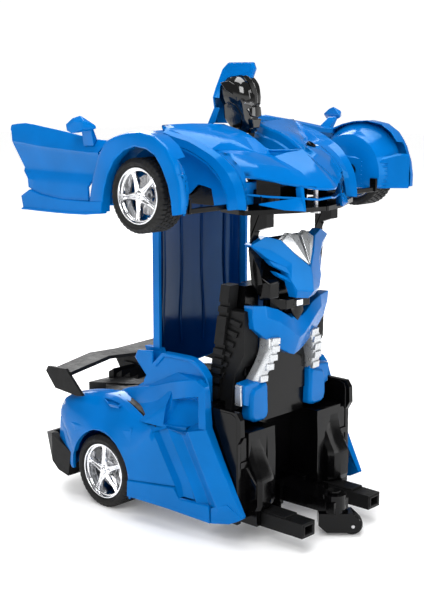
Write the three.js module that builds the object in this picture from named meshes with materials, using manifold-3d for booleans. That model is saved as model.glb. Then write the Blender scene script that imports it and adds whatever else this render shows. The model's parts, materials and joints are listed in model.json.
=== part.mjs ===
// Transforming robot car, standing in robot form.
// Millimetres. +X is the robot's front, +Y its left side, +Z up; Z = 0 is the ground under the wheels.
// Every point below is in the robot's own frame, whose X = 0 is the front of the feet. The group at
// the end moves the whole toy so that the origin lies under the middle of its box.
import * as THREE from 'three';
import { mergeVertices } from 'three/addons/utils/BufferGeometryUtils.js';
import { ConvexGeometry } from 'three/addons/geometries/ConvexGeometry.js';
import Module from 'manifold-3d';

const wasm = await Module();
wasm.setup();

// ---------------------------------------------------------------- driving dimensions
const ORIGIN_X = -96.85;            // middle of the box, in the robot's frame
const GAP = 0.3;                    // gap between pieces that touch
const WALL = 2.2;                   // wall of the moulded shells

const MAIN_HINGE = [-76.5, 54.5];   // legs on the rear body: x, z
const HOOD_HINGE = [-38, 203];      // hood on the chest struts
const ROOF_HINGE = [-102, 73];      // roof panel on the cheeks
const HEAD_HINGE = [-87, 232];      // head on the hood
const CASTER_HINGE = [-45, 19.5];   // caster arm on the legs
const CASTER_POST_X = -6.5;         // swivel axis of the caster
const CASTER_WHEEL = { x: 4.7, r: 6.3, width: 6 };
const CASTER_HEADING = Math.atan2(0.68, 0.73);

const REAR_WHEEL = { x: -141.5, z: 23.6, r: 23.6, rim: 18, inner: 45, outer: 66 };
const FRONT_WHEEL = { x: -63, z: 207.5, r: 20.6, rim: 15.8, inner: 88, outer: 107 };
const GEAR = { module: 0.7, wheel: 20, pinion: 10, inner: 16, outer: 20, slack: 0.6 };
const PINION_ANGLE = THREE.MathUtils.degToRad(163);

const SIDES = [['right', -1], ['left', 1]];

// ---------------------------------------------------------------- materials
const plastic = (color, roughness) => () => new THREE.MeshStandardMaterial({ color, roughness,
  metalness: 0 });
const metal = (color, roughness) => () => new THREE.MeshStandardMaterial({ color, roughness,
  metalness: 1 });
const BLUE = plastic(0x0a6fd0, 0.25);
const BLACK = plastic(0x0c0c0d, 0.3);
const CHARCOAL = plastic(0x26282a, 0.5);
const SILVER = plastic(0xc9ccce, 0.35);
const RUBBER = plastic(0x141414, 0.75);
const BOARD = plastic(0x1d5b34, 0.6);
const LABEL = plastic(0x3d6f9e, 0.5);
const CHROME = metal(0xe6e8ea, 0.12);
const STEEL = metal(0xb4b7ba, 0.3);

// ---------------------------------------------------------------- solids
function solid(geometry) {
  const bare = geometry.clone();
  bare.deleteAttribute('normal');
  bare.deleteAttribute('uv');
  const merged = mergeVertices(bare, 1e-4);
  return new wasm.Manifold(new wasm.Mesh({
    numProp: 3,
    vertProperties: new Float32Array(merged.attributes.position.array),
    triVerts: new Uint32Array(merged.index.array),
  }));
}

function geometryOf(body) {
  const mesh = body.getMesh();
  const geometry = new THREE.BufferGeometry();
  geometry.setAttribute('position', new THREE.BufferAttribute(new Float32Array(mesh.vertProperties), 3));
  geometry.setIndex([...mesh.triVerts]);
  return geometry;
}

const join = (first, ...rest) => rest.reduce((a, b) => a.add(b), first);
const cut = (first, ...rest) => rest.reduce((a, b) => a.subtract(b), first);

// The same solid on the other side of the middle plane.
function flip(body) {
  const geometry = geometryOf(body).scale(1, -1, 1);
  const order = geometry.index.array;
  for (let i = 0; i < order.length; i += 3) [order[i], order[i + 1]] = [order[i + 1], order[i]];
  return solid(geometry);
}

const both = (half) => join(half, flip(half));

function turned(body, matrix) {
  return solid(geometryOf(body).applyMatrix4(matrix));
}

function outline(points) {
  return new THREE.Shape(points.map(([a, b]) => new THREE.Vector2(a, b)));
}

const extruded = (points, depth) => new THREE.ExtrudeGeometry(outline(points),
  { depth, bevelEnabled: false });

// Plates: an outline with a thickness along one axis.
function plateZ(points, z0, z1) {                      // outline in x, y
  return solid(extruded(points, z1 - z0).translate(0, 0, z0));
}
function plateY(points, y0, y1) {                      // outline in x, z
  return solid(extruded(points, y1 - y0).rotateX(Math.PI / 2).translate(0, y1, 0));
}
function plateX(points, x0, x1) {                      // outline in y, z
  const lay = new THREE.Matrix4().set(0, 0, 1, x0, 1, 0, 0, 0, 0, 1, 0, 0, 0, 0, 0, 1);
  return solid(extruded(points, x1 - x0).applyMatrix4(lay));
}
function box(x0, x1, y0, y1, z0, z1) {
  const geometry = new THREE.BoxGeometry(x1 - x0, y1 - y0, z1 - z0);
  return solid(geometry.translate((x0 + x1) / 2, (y0 + y1) / 2, (z0 + z1) / 2));
}
function rodY(x, z, r, y0, y1, sides = 16) {
  const geometry = new THREE.CylinderGeometry(r, r, y1 - y0, sides);
  return solid(geometry.translate(x, (y0 + y1) / 2, z));
}
function rodZ(x, y, r, z0, z1, sides = 16) {
  return solid(new THREE.CylinderGeometry(r, r, z1 - z0, sides).rotateX(Math.PI / 2).translate(x, y,
    (z0 + z1) / 2));
}
function hull(points) {
  return solid(new ConvexGeometry(points.map(([x, y, z]) => new THREE.Vector3(x, y, z))));
}
// A ring or disc turned about a line along Y; the profile is [radius, y] and closes on itself.
function turnedY(profile, x, z, sides = 32) {
  const points = profile.map(([r, y]) => new THREE.Vector2(r, y));
  return solid(new THREE.LatheGeometry(points, sides).translate(x, 0, z));
}

// ---------------------------------------------------------------- nodes
const toy = new THREE.Group();
toy.position.x = -ORIGIN_X;

function piece(name, body, material) {
  const mesh = new THREE.Mesh(geometryOf(body), material());
  mesh.name = name;
  toy.add(mesh);
}

// Builds the piece for the left side and its mirror image for the right.
function pair(name, left, material) {
  for (const [side, sign] of SIDES) piece(`${name}_${side}`, sign > 0 ? left : flip(left), material);
}

// ---------------------------------------------------------------- wheels
function tyre({ x, z, r, rim, inner, outer }) {
  const shoulder = 3;
  const bore = rim + GAP;
  const profile = [
    [bore, inner + 1.5], [r - shoulder, inner], [r, inner + shoulder],
    [r, outer - shoulder], [r - shoulder, outer], [bore, outer - 1.5], [bore, inner + 1.5],
  ];
  return turnedY(profile, x, z, 36);
}

function rim({ x, z, rim: r, inner, outer }, boreRadius) {
  const lip = 1.6;
  const barrel = turnedY([
    [r - lip, inner + 2.5], [r, inner + 2.5], [r, outer - 1.8], [r - lip, outer - 1.8],
      [r - lip, inner + 2.5],
  ], x, z);
  const spokes = [0, 1, 2, 3, 4].map((i) => {
    const angle = Math.PI / 2 + (i * 2 * Math.PI) / 5;
    const bar = box(0, r - lip / 2, -0.5, 4, -2.1, 2.1);
    const place = new THREE.Matrix4().makeRotationY(-angle).setPosition(x, outer - 7, z);
    return turned(bar, place);
  });
  const hub = rodY(x, z, 5, inner + 4, outer - 2.4, 20);
  return cut(join(barrel, hub, ...spokes), rodY(x, z, boreRadius, inner - 1, outer - 4));
}

function gear(x, z, teeth, y0, y1, phase) {
  const pitch = (GEAR.module * teeth) / 2;
  const step = (2 * Math.PI) / teeth;
  const points = [];
  for (let i = 0; i < teeth; i++) {
    for (const [turn, r] of [[-0.27, -0.9], [-0.13, 0.6], [0.13, 0.6], [0.27, -0.9]]) {
      const angle = phase + (i + turn) * step;
      points.push([x + (pitch + r) * Math.cos(angle), z + (pitch + r) * Math.sin(angle)]);
    }
  }
  return plateY(points, y0, y1);
}

const gearDistance = (GEAR.module * (GEAR.wheel + GEAR.pinion)) / 2 + GEAR.slack;
const PINION = {
  x: REAR_WHEEL.x + gearDistance * Math.cos(PINION_ANGLE),
  z: REAR_WHEEL.z + gearDistance * Math.sin(PINION_ANGLE),
};

function rearAxle() {
  const { x, z, outer } = REAR_WHEEL;
  const shaft = rodY(x, z, 2, 2, outer - 5);
  return join(shaft, gear(x, z, GEAR.wheel, GEAR.inner, GEAR.outer, PINION_ANGLE));
}

function motorPinion() {
  const phase = PINION_ANGLE + Math.PI + Math.PI / GEAR.pinion;
  const shaft = rodY(PINION.x, PINION.z, 1, 15.4, 21.5, 16);
  return join(gear(PINION.x, PINION.z, GEAR.pinion, GEAR.inner, GEAR.outer, phase), shaft);
}

pair('rear_tyre', tyre(REAR_WHEEL), RUBBER);
pair('rear_rim', rim(REAR_WHEEL, 2 + GAP), CHROME);
pair('rear_axle', rearAxle(), STEEL);
pair('motor_pinion', motorPinion(), STEEL);
pair('front_tyre', tyre(FRONT_WHEEL), RUBBER);
pair('front_rim', rim(FRONT_WHEEL, 1.8 + GAP), CHROME);

// ---------------------------------------------------------------- rear body
// The shell is the space between an outer and an inner form, each a union of hulls of one half.
function rearQuarter(inset) {
  const s = inset;
  return hull([
    [-197 + s, 0, 33], [-197 + s, 40 - s, 33], [-187 + s, 62 - s, 30], [-170, 66 - s, 20],
      [-104, 68 - s, 13],
    [-200 + s, 0, 52 - s], [-196 + s, 44 - s, 51 - s], [-183 + s, 64 - s, 51 - s],
    [-193 + s, 0, 60 - s], [-180 + s, 50 - s, 66 - s], [-176 + s, 58 - s, 64 - s],
    [-152, 52 - s, 69.5 - s], [-136, 54 - s, 69 - s], [-150, 0, 68 - s], [-128, 0, 64 - s],
    [-112, 60 - s, 60 - s], [-104, 66 - s, 57 - s], [-122, 0, 47], [-122, 0, 13],
    [-165, 67 - s, 50 - s], [-104, 68 - s, 46],
  ]);
}

function shoulder() {
  return hull([
    [-130, 42.5, 60], [-130, 54, 63], [-136, 44, 74], [-104, 66, 57], [-104, 60, 60], [-118, 42.5, 86],
    [-94, 58, 65], [-107, 50.5, 82], [-91, 47, 94], [-78, 53.5, 91], [-67.5, 54.6, 93], [-67.5, 42.5, 93.5],
    [-67.5, 54.6, 70], [-67.5, 42.5, 70], [-100, 42.5, 60], [-94, 64, 62],
  ]);
}

function cheek() {
  const disc = rodY(-84, 84.6, 20, 42.5, 47, 40).intersect(box(-110, -66.6, 40, 50, 60, 110));
  const plate = plateY([[-121, 60], [-121, 84], [-113, 96], [-104, 104.2], [-84, 104.6], [-84, 80],
    [-67.2, 80], [-67.2, 60]],
    42.5, 47);
  return join(disc, plate);
}

// The side skin ahead of the wheel: a tall panel with a step where the door lands.
function skirt(inset) {
  const s = inset;
  return hull([
    [-114, 66 - s, 57 - s], [-114, 68 - s, 46], [-114, 68 - s, 13], [-50, 60.4 - s, 12],
      [-37, 58.4 - s, 14.4],
    [-30.5, 57.5 - s, 17.8], [-28.2 - s, 57 - s, 20.5], [-58.6 - s, 57 - s, 87 - s],
      [-60.4 - s, 56 - s, 91 - s],
    [-67, 55, 93 - s], [-92, 55, 83 - s], [-114, 55, 62 - s], [-114, 55, 13], [-50, 54.8, 12],
      [-37, 54.8, 14.4],
    [-28.2 - s, 54.8, 20.5], [-60.4 - s, 54.8, 91 - s],
  ]);
}

function rearBody() {
  const below = 30;
  const quarter = cut(rearQuarter(0), rearQuarter(WALL), box(-170, -90, -1, 64, -below, 40));
  const side = cut(skirt(0), turned(skirt(WALL), new THREE.Matrix4().makeTranslation(-1, -3, -1.5)));
  const boss = rodY(MAIN_HINGE[0], MAIN_HINGE[1], 6.5, 54.9, 62, 20);
  const well = rodY(REAR_WHEEL.x, REAR_WHEEL.z, 27.2, 30, 80, 32);
  const roofPin = rodY(ROOF_HINGE[0], ROOF_HINGE[1], 2.2, 35, 44, 20);
  const intake = hull([
    [-88, 48, 80], [-88, 70, 92], [-64, 70, 94], [-64, 48.5, 83], [-62, 70, 66], [-66, 50, 67],
    [-88, 70, 64], [-88, 56, 66],
  ]);
  const flank = cut(join(shoulder(), side), intake);
  let half = join(quarter, flank, cheek(), boss);
  half = cut(half, well, box(-131, 0, -1, 54.6, -below, 46), box(-120, 0, -1, 42.4, -below, 120));
  half = cut(half, box(-250, 0, -1, 90, -below, 11.5), box(-125, -80, -1, 44, 0, 57));
  const blade = plateY([[-164, 62], [-164, 75], [-172, 84], [-150, 87], [-147, 77], [-147, 62]], -1.4, 1.4);
  half = join(half, roofPin, blade);
  half = cut(half, rodY(MAIN_HINGE[0], MAIN_HINGE[1], 2.5 + GAP, 50, 60.5));
  return both(half);
}

piece('rear_body', rearBody(), BLUE);

// Engine cover between the fenders, with louvres and a band down each side.
function engineCover() {
  const base = hull([
    [-194, 0, 66], [-184, 38, 69.5], [-150, 36, 74], [-150, 0, 76], [-132, 12, 72], [-132, 0, 72],
    [-194, 0, 50], [-184, 38, 50], [-150, 36, 50], [-132, 12, 50],
  ]);
  const band = hull([
    [-176, 30, 70], [-160, 44, 72], [-138, 53, 71.2], [-118, 57, 66], [-113, 53, 66.5], [-140, 30, 73.5],
    [-176, 30, 50], [-160, 44, 50], [-138, 53, 50], [-118, 57, 50], [-113, 53, 50], [-140, 30, 50],
  ]);
  const louvres = [-182, -174, -166, -158].map((x) => plateY([[x, 66], [x + 5, 66], [x + 5, 77], [x, 74]],
    2, 22));
  const spine = box(-188, -140, -1, 3, 64, 77);
  const moved = (body, x, y, z) => turned(body, new THREE.Matrix4().makeTranslation(x * GAP, y * GAP,
    z * GAP));
  const room = join(
    moved(rearQuarter(0), 0, 0, 1), moved(shoulder(), 0, 0, 1), moved(shoulder(), -2, -1, 0),
      moved(shoulder(), -2, 1, 0),
  );
  const finSlot = box(-202, -146.6, -1.4 - GAP, 1.4 + GAP, 50, 90);
  return cut(both(join(base, band, spine, ...louvres)), both(room), box(-250, 0, -90, 90, 0, 60), finSlot);
}

// Wing across the tail with end plates, carried on the fin.
function spoilerWing() {
  const blade = join(
    hull([[-190, 66, 82], [-169, 66, 84], [-168, 66, 82], [-189, 66, 80],
      [-192, 30, 87], [-172, 30, 88], [-171, 30, 86], [-191, 30, 85]]),
    hull([[-192, 30, 87], [-172, 30, 88], [-171, 30, 86], [-191, 30, 85],
      [-198, 0, 84], [-176, 0, 84.5], [-175, 0, 82.5], [-197, 0, 82]]),
  );
  const endPlate = plateY([[-193, 81], [-191, 84.5], [-173, 85.5], [-157, 70.4], [-163, 69.5],
    [-184, 71]], 65, 67);
  return both(join(blade, endPlate));
}

function centreFin() {
  return plateY([[-200, 81.2], [-176, 81.4], [-166, 74.6], [-170, 69], [-192, 69.6]], -1.4, 1.4);
}

function diffuser() {
  const { x, z } = REAR_WHEEL;
  const side = hull([
    [-200, 62, 37], [-190, 66, 39], [-190, 66, 20], [-184, 66, 15], [-174, 66, 13], [-171, 66, 30],
    [-200, 0, 37], [-202, 30, 37], [-196, 0, 16], [-184, 0, 13], [-174, 0, 13], [-171, 0, 28],
      [-196, 58, 16],
  ]);
  const hollow = hull([
    [-196, 60, 40], [-174, 63, 40], [-174, 63, 16], [-183, 63, 18], [-194, 56, 20],
    [-197, -1, 40], [-174, -1, 40], [-174, -1, 16], [-194, -1, 20],
  ]);
  const fins = [12, 28, 44].map((y) => plateY([[-203, 28], [-172, 20], [-174, 10], [-198, 12]], y,
    y + 1.8));
  const half = join(cut(side, hollow), ...fins);
  const body = join(rearQuarter(0), turned(rearQuarter(0),
    new THREE.Matrix4().makeTranslation(-2 * GAP, 0, -GAP)));
  return cut(both(half), both(body), both(rodY(x, z, 28, 30, 80, 32)), box(-175, -150, -40, 40, 0, 60));
}

piece('engine_cover', engineCover(), CHARCOAL);
piece('spoiler_wing', spoilerWing(), CHARCOAL);
piece('spoiler_fin', centreFin(), CHARCOAL);
piece('rear_diffuser', diffuser(), CHARCOAL);

// ---------------------------------------------------------------- drive unit
const BOX = { x0: -170, x1: -131.3, half: 24, z0: 9, z1: 44 };

function gearboxHousing() {
  const outer = box(BOX.x0, BOX.x1, -BOX.half, BOX.half, BOX.z0, BOX.z1);
  const inner = box(BOX.x0 + 2, BOX.x1 - 2, -BOX.half + 2, BOX.half - 2, BOX.z0 + 2, BOX.z1 + 1);
  return cut(outer, inner, rodY(REAR_WHEEL.x, REAR_WHEEL.z, 2 + GAP, -30, 30));
}

function chassisPlate() {
  const plate = plateZ([[-176, -40], [-131.3, -24], [-131.3, 24], [-176, 40]], 6, 8.7);
  return cut(plate, box(-160, -148, -2, 2, 5, 10));
}

piece('gearbox_housing', gearboxHousing(), BLACK);
piece('chassis_plate', chassisPlate(), BLACK);
pair('drive_motor', join(
  rodY(PINION.x, PINION.z, 6.5, 1, 14),
  rodY(PINION.x, PINION.z, 2.5, 13.5, 15, 16),
), STEEL);
piece('power_switch', box(-159.4, -153.4, -1.6, 1.6, 3.6, 7.6), CHARCOAL);
pair('main_hinge_pin', rodY(MAIN_HINGE[0], MAIN_HINGE[1], 2.5, 49, 60), STEEL);

// ---------------------------------------------------------------- roof panel
function roofPanel() {
  const half = [[-113, 41], [-118.5, 41], [-124, 33], [-127, 17]];
  const inner = [[-125, 16], [-122, 31.5], [-117.5, 39], [-113, 39]];
  const mirror = (points) => points.map(([x, y]) => [x, -y]).reverse();
  const section = [...half, ...mirror(half), ...mirror(inner), ...inner];
  const end = [];
  for (let i = 0; i <= 16; i++) {
    const angle = Math.PI + (i * Math.PI) / 16;
    end.push([41 * Math.cos(angle), 104 + 17 * Math.sin(angle)]);
  }
  const trimmed = plateZ(section, 86,
    196).intersect(plateX([...end, [41, 190], [34, 196], [-34, 196], [-41, 190]], -130, -110));
  const arm = plateY([
    [-126.5, 104], [-113, 104], [-99, 77], [-97.5, 72], [-101, 68.5], [-106, 69.5], [-120, 88],
  ], 36.6, 40.6);
  const eye = rodY(ROOF_HINGE[0], ROOF_HINGE[1], 5, 36.6, 40.6);
  const arms = both(cut(join(arm, eye), rodY(ROOF_HINGE[0], ROOF_HINGE[1], 2.2 + GAP, 30, 50, 20)));
  return join(trimmed, arms);
}

piece('roof_panel', roofPanel(), BLUE);

// ---------------------------------------------------------------- legs
function legHousing() {
  const wall = join(
    plateY([[-66, 80], [-37, 80], [-34, 76], [-33.5, 66], [-44, 48], [-60, 44], [-66, 47]], 50.3, 53.6),
    plateY([[-66, 47], [-66, 70], [-79, 62], [-83.5, 54.5], [-79, 48]], 50.3, 53.6),
  );
  const web = join(box(-65.6, -60, 42, 51, 46, 80), box(-60.5, -36, 42, 51, 46, 49.5));
  const back = box(-65.3, -60.2, -1, 46, 14, 80);
  const shelf = box(-61, -36, 20.5, 44, 62.5, 66);
  const block = box(-61, -36, 20.5, 44, 18.1, 66);
  const room = box(-70, -38.5, 23, 41.5, 21, 62.5);
  const pad = hull([[-37, 36, 20], [-37, 46, 24], [-30, 38, 24], [-29.5, 45, 28], [-29.5, 45, 36],
    [-30, 38, 40],
    [-37, 46, 46], [-37, 36, 48]]);
  const rails = join(box(-62, -30, 21, 24.9, 10, 19.5), box(-62, -30, 39.4, 43.4, 10, 19.5));
  const sill = box(-65.3, -54.8, -1, 22, 10, 27);
  const lug = box(-56, -38, 9.3, 12.6, 13.5, 26);
  const floor = box(-61, -57.6, -1, 22, 20, 80);
  let half = join(block, wall, web, back, shelf, pad, rails, sill, lug, floor);
  half = cut(half, room, rodY(MAIN_HINGE[0], MAIN_HINGE[1], 2.5 + GAP, 40, 60));
  half = cut(half, rodY(CASTER_HINGE[0], CASTER_HINGE[1], 1.5 + GAP, -5, 20));
  half = cut(half, rodY(CASTER_HINGE[0], CASTER_HINGE[1], 9, -5, 9.2, 32),
    box(-70, -30, 25.2, 39.1, 5, 18));
  return both(half);
}

piece('leg_housing', legHousing(), BLACK);
piece('leg_back_cover', cut(box(-68, -65.6, -41.8, 41.8, 20, 78), box(-69, -64, -5, 5, 60, 90)), BLACK);
piece('circuit_board', box(-56, -54.4, 24.5, 40, 24, 58), BOARD);
piece('transform_motor', rodZ(-50, -32, 8, 24, 54), STEEL);

function foot() {
  const bar = hull([[-45, 25.5, 9], [-45, 38.8, 9], [0, 26.5, 9], [0, 38, 9], [-45, 25.5, 17.7],
    [-45, 38.8, 17.7],
    [0, 26.5, 17.7], [0, 38, 17.7]]);
  return cut(bar, box(-8, 1, 28.5, 36, 11, 15.7));
}

pair('foot', foot(), CHARCOAL);

// ---------------------------------------------------------------- caster
function casterArm() {
  const [hx, hz] = CASTER_HINGE;
  const beam = hull([[-45, 8.8, 14.7], [-45, 8.8, 25], [CASTER_POST_X + 5.5, 7, 14.7],
    [CASTER_POST_X + 5.5, 7, 22],
    [-45, -8.8, 14.7], [-45, -8.8, 25], [CASTER_POST_X + 5.5, -7, 14.7], [CASTER_POST_X + 5.5, -7, 22]]);
  const barrel = rodY(hx, hz, 6, -8.8, 8.8, 28);
  const collar = rodZ(CASTER_POST_X, 0, 7.4, 14.7, 25.5, 28);
  return cut(join(beam, barrel, collar), rodY(hx, hz, 1.5 + GAP, -20, 20),
    rodZ(CASTER_POST_X, 0, 2.5 + GAP, 10, 30));
}

// The fork and wheel are drawn with the wheel rolling along X, then swivelled to their heading.
function swivelled(body) {
  const back = new THREE.Matrix4().makeTranslation(-CASTER_POST_X, 0, 0);
  const swing = new THREE.Matrix4().makeRotationZ(CASTER_HEADING);
  const out = new THREE.Matrix4().makeTranslation(CASTER_POST_X, 0, 0);
  return turned(body, out.multiply(swing).multiply(back));
}

function casterFork() {
  const { x, r, width } = CASTER_WHEEL;
  const side = plateY([[-16, 14.3], [4.5, 14.3], [9, 10], [9.5, 6], [7.5, 3.4], [3.5, 2.4], [-11, 2.4],
    [-16, 7]], -6, 6);
  const slot = box(x - r - 1.2, x + r + 8, -width / 2 - 0.4, width / 2 + 0.4, -1, 13);
  const post = rodZ(CASTER_POST_X, 0, 2.5, 13, 26.5);
  const cap = rodZ(CASTER_POST_X, 0, 4, 25.9, 27.4);
  return cut(join(side, post, cap), slot, rodY(x, r, 1 + GAP, -10, 10, 20));
}

piece('caster_arm', casterArm(), BLACK);
piece('caster_hinge_pin', rodY(CASTER_HINGE[0], CASTER_HINGE[1], 1.5, -12.4, 12.4, 20), STEEL);
piece('caster_fork', swivelled(casterFork()), BLACK);
piece('caster_axle', swivelled(rodY(CASTER_WHEEL.x, CASTER_WHEEL.r, 1, -6.2, 6.2, 20)), STEEL);
piece('caster_wheel', swivelled(turnedY([
  [1.3, -3], [5.6, -3], [6.3, -2.2], [6.3, 2.2], [5.6, 3], [1.3, 3], [1.3, -3],
], CASTER_WHEEL.x, CASTER_WHEEL.r, 32)), RUBBER);

// ---------------------------------------------------------------- shins, thighs, hips
function shin() {
  const front = plateX([
    [19.8, 94.2], [30, 95], [40, 92.5], [40, 82], [36.5, 79], [35.8, 69.5], [33, 67.4], [21, 67.4],
      [19.2, 70],
  ], -56, -44.5);
  const face = hull([[-45, 22, 92], [-45, 34, 92], [-45, 34, 72], [-45, 21.5, 72], [-42.4, 23.5, 89],
    [-42.4, 32, 89],
    [-42.4, 32, 75], [-42.4, 23, 75]]);
  return join(front, face);
}

function thigh() {
  const core = hull([[-50, 19.5, 120], [-50, 28, 120], [-50, 25, 96], [-50, 36, 96], [-46, 20.5, 119],
    [-46, 27, 119],
    [-41, 26, 96], [-41, 34, 96]]);
  const ribs = [99, 104, 109].map((z) => {
    const y = 27.3 - (z - 96) * 0.27;
    return hull([[-48, y - 1, z - 1.6], [-48, y + 9.5, z - 1.6], [-38.6, y, z - 1.6],
      [-38.6, y + 7.5, z - 1.6],
      [-48, y - 1.5, z + 1.4], [-48, y + 9, z + 1.4], [-38.6, y - 0.5, z + 1.4], [-38.6, y + 7, z + 1.4]]);
  });
  return join(core, ...ribs);
}

function hipPlate() {
  const half = [[0, 105.6], [10, 111.4], [22, 118.2], [33.3, 125.3], [35.6, 141], [24, 142.4], [14, 138],
    [4, 127], [0, 124.6]];
  const ring = [...half, ...half.slice(1, -1).reverse().map(([y, z]) => [-y, z])];
  const sheet = plateX(ring, -45, -39.6);
  const ridge = both(hull([[-40, 7, 111.5], [-40, 22, 120], [-40, 30, 125], [-40, 31, 138],
    [-40, 22, 138], [-40, 8, 124],
    [-36.6, 12, 119], [-36.6, 25, 127], [-36.6, 25, 134]]));
  return cut(join(sheet, ridge), plateX([[-3, 131], [0, 123], [3, 131], [3, 150], [-3, 150]], -60, -30));
}

pair('shin', shin(), BLUE);
pair('thigh', thigh(), SILVER);
piece('hip_plate', hipPlate(), BLUE);

function sideStrut() {
  const beam = hull([[-74, 32, 81], [-64, 32, 81], [-72, 41, 81], [-64, 41, 81],
    [-62, 33, 151], [-54, 33, 151], [-61, 41, 151], [-54, 41, 151]]);
  const grooves = [88, 94, 100, 106, 112, 132, 138].map((z) => box(-80, -50, 39.4, 45, z, z + 2.6));
  return cut(beam, ...grooves);
}

pair('side_strut', sideStrut(), CHARCOAL);

// ---------------------------------------------------------------- torso
function torsoFrame() {
  const lower = join(box(-60, -45.4, -1, 18.8, 81, 150), box(-60, -50.4, 18, 31.6, 96, 150));
  const lowerRoom = box(-70, -47.4, -1, 20, 97, 147);
  const bridge = box(-54, -46.5, -1, 19, 66.4, 82);
  const upper = plateX([[-1, 143], [24, 143], [31.6, 152], [34.5, 172], [33, 178], [-1, 178]], -45.6,
    -39.1);
  const belt = plateX([[-1, 130], [0, 130], [2.4, 131.5], [2.4, 134], [9, 140], [9, 141.2], [-1, 141.2]],
    -46, -35);
  const strut = plateY([
    [-45.6, 172], [-39.1, 172], [-39.1, 182.2], [-33, 186], [-33.2, 205], [-36, 208], [-40, 208],
      [-43, 205], [-45.6, 190],
  ], 26.8, 33.2);
  let half = join(lower, upper, belt, strut, bridge);
  half = cut(half, lowerRoom, rodY(HOOD_HINGE[0], HOOD_HINGE[1], 2.2 + GAP, 20, 40, 20));
  return both(half);
}

function chestPlate() {
  const half = [
    [0, 157.6], [16.5, 172], [17, 181.5], [26, 181.8], [30, 178.8], [36, 175.4], [33, 170.4], [21, 165],
      [20, 161.6],
    [12.5, 158], [8.6, 145], [5.4, 141.6], [0, 141.6],
  ];
  const ring = [...half.slice(0, -1), [0, 141.6], ...half.slice(1, -1).reverse().map(([y, z]) => [-y, z])];
  const sheet = plateX(ring, -38.7, -33.4);
  const keel = both(hull([[-34, 0, 157], [-34, 12, 163], [-34, 17, 168], [-34, 12, 158.6], [-34, 8, 146],
    [-34, 0, 143],
    [-27, 0, 154], [-25.4, 0, 146], [-27, 5, 156], [-25.4, 4, 147]]));
  const wing = both(hull([[-34, 18, 170], [-34, 18, 180], [-34, 25, 180.5], [-34, 33, 175],
    [-31.5, 20, 172], [-31.5, 20, 178],
    [-34, 30, 171]]));
  const slack = both(plateX([[0, 159], [15.2, 171.4], [15.6, 190], [0, 190]], -60, -10));
  return cut(join(sheet, keel, wing), slack);
}

function chestEmblem() {
  const half = hull([[-38.7, 0, 160.4], [-38.7, 14.8, 172], [-38.7, 15.2, 181.4], [-38.7, 6, 181.4],
    [-38.7, 0, 172],
    [-29, 1, 162], [-30.5, 9, 173], [-31.5, 12, 180], [-31, 6.6, 180], [-28, 1, 171], [-28, 0, 162],
      [-28, 0, 170]]);
  return both(half);
}

piece('torso_frame', torsoFrame(), BLACK);
piece('chest_plate', chestPlate(), BLUE);
piece('chest_emblem', chestEmblem(), SILVER);
piece('battery_pack', box(-58.6, -48, -18.5, 18.5, 99, 145), LABEL);
piece('battery_cover', box(-62.6, -60.3, -21.5, 21.5, 94, 150), BLACK);

// ---------------------------------------------------------------- hood
// The fender band over each front wheel well, seen from the side. Its inner edge is an arc about the wheel.
const FENDER_ARC = 24.5;
function fenderOutline() {
  const outer = [
    [-100, 243], [-91, 245.5], [-81, 244.5], [-66, 241], [-54, 234], [-43, 225], [-36, 214], [-32.5, 204],
      [-32, 197.3],
    [-37, 197.3],
  ];
  const inner = [];
  for (let degrees = 0; degrees <= 108; degrees += 12) {
    const angle = THREE.MathUtils.degToRad(degrees);
    inner.push([FRONT_WHEEL.x + FENDER_ARC * Math.cos(angle),
      FRONT_WHEEL.z + FENDER_ARC * Math.sin(angle)]);
  }
  return [...outer, ...inner, [-90, 234], [-100, 238]];
}

function hoodTop(inset) {
  const s = inset;
  return hull([
    [-11 - s, 0, 209 - s], [-11 - s, 0, 206], [-15 - s, 18, 210 - s], [-15 - s, 18, 206],
      [-30 - s, 46 - s, 214 - s],
    [-30 - s, 46 - s, 206], [-24 - s, 0, 220.5 - s], [-35.5, 0, 228.4 - s], [-40, 30, 229 - s],
      [-74, 0, 240 - s],
    [-56, 44 - s, 233 - s], [-84, 30, 242.5 - s], [-90, 46 - s, 243 - s], [-90, 46 - s, 238],
      [-84, 24, 238],
    [-60, 46 - s, 226], [-60, 0, 226],
  ]);
}

function hoodShell() {
  const top = cut(hoodTop(0), turned(hoodTop(WALL), new THREE.Matrix4().makeTranslation(0, 0, -0.4)));
  const fender = plateY(fenderOutline(), 43, 56);
  const flank = cut(plateY([[-96, 236], [-80, 244], [-32, 212], [-32, 197], [-44, 197], [-58, 213],
    [-86, 224]], 43, 45.2),
    rodY(FRONT_WHEEL.x, FRONT_WHEEL.z, 15, 40, 50, 32));
  const lip = plateZ([[-11, 0], [-16, 20], [-33, 52], [-37, 52], [-37, 46], [-22, 20], [-17, 0]], 197.3,
    199);
  const blade = hull([[-13, 6, 197.3], [-11.5, 6, 207], [-22, 16, 207], [-22, 17, 197.3], [-16, 7, 197.3],
    [-15, 7, 207]]);
  const corner = hull([[-33, 51.6, 197.3], [-37, 51.6, 197.3], [-31, 47, 212], [-36, 47, 212],
    [-32, 47.5, 197.3], [-37, 46, 197.3]]);
  const screwPost = rodZ(-24, 0, 3.2, 207, 220);
  const half = join(top, fender, flank, lip, blade, corner,
    screwPost.intersect(box(-40, 0, -1, 20, 190, 240)));
  const recess = plateZ([[-34.6, -2], [-58, -16], [-110, -19], [-110, 19], [-58, 16], [-34.6, 2]], 190,
    260);
  return cut(both(half), recess, rodZ(-24, 0, 1.5 + GAP, 190, 214, 20));
}

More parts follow.
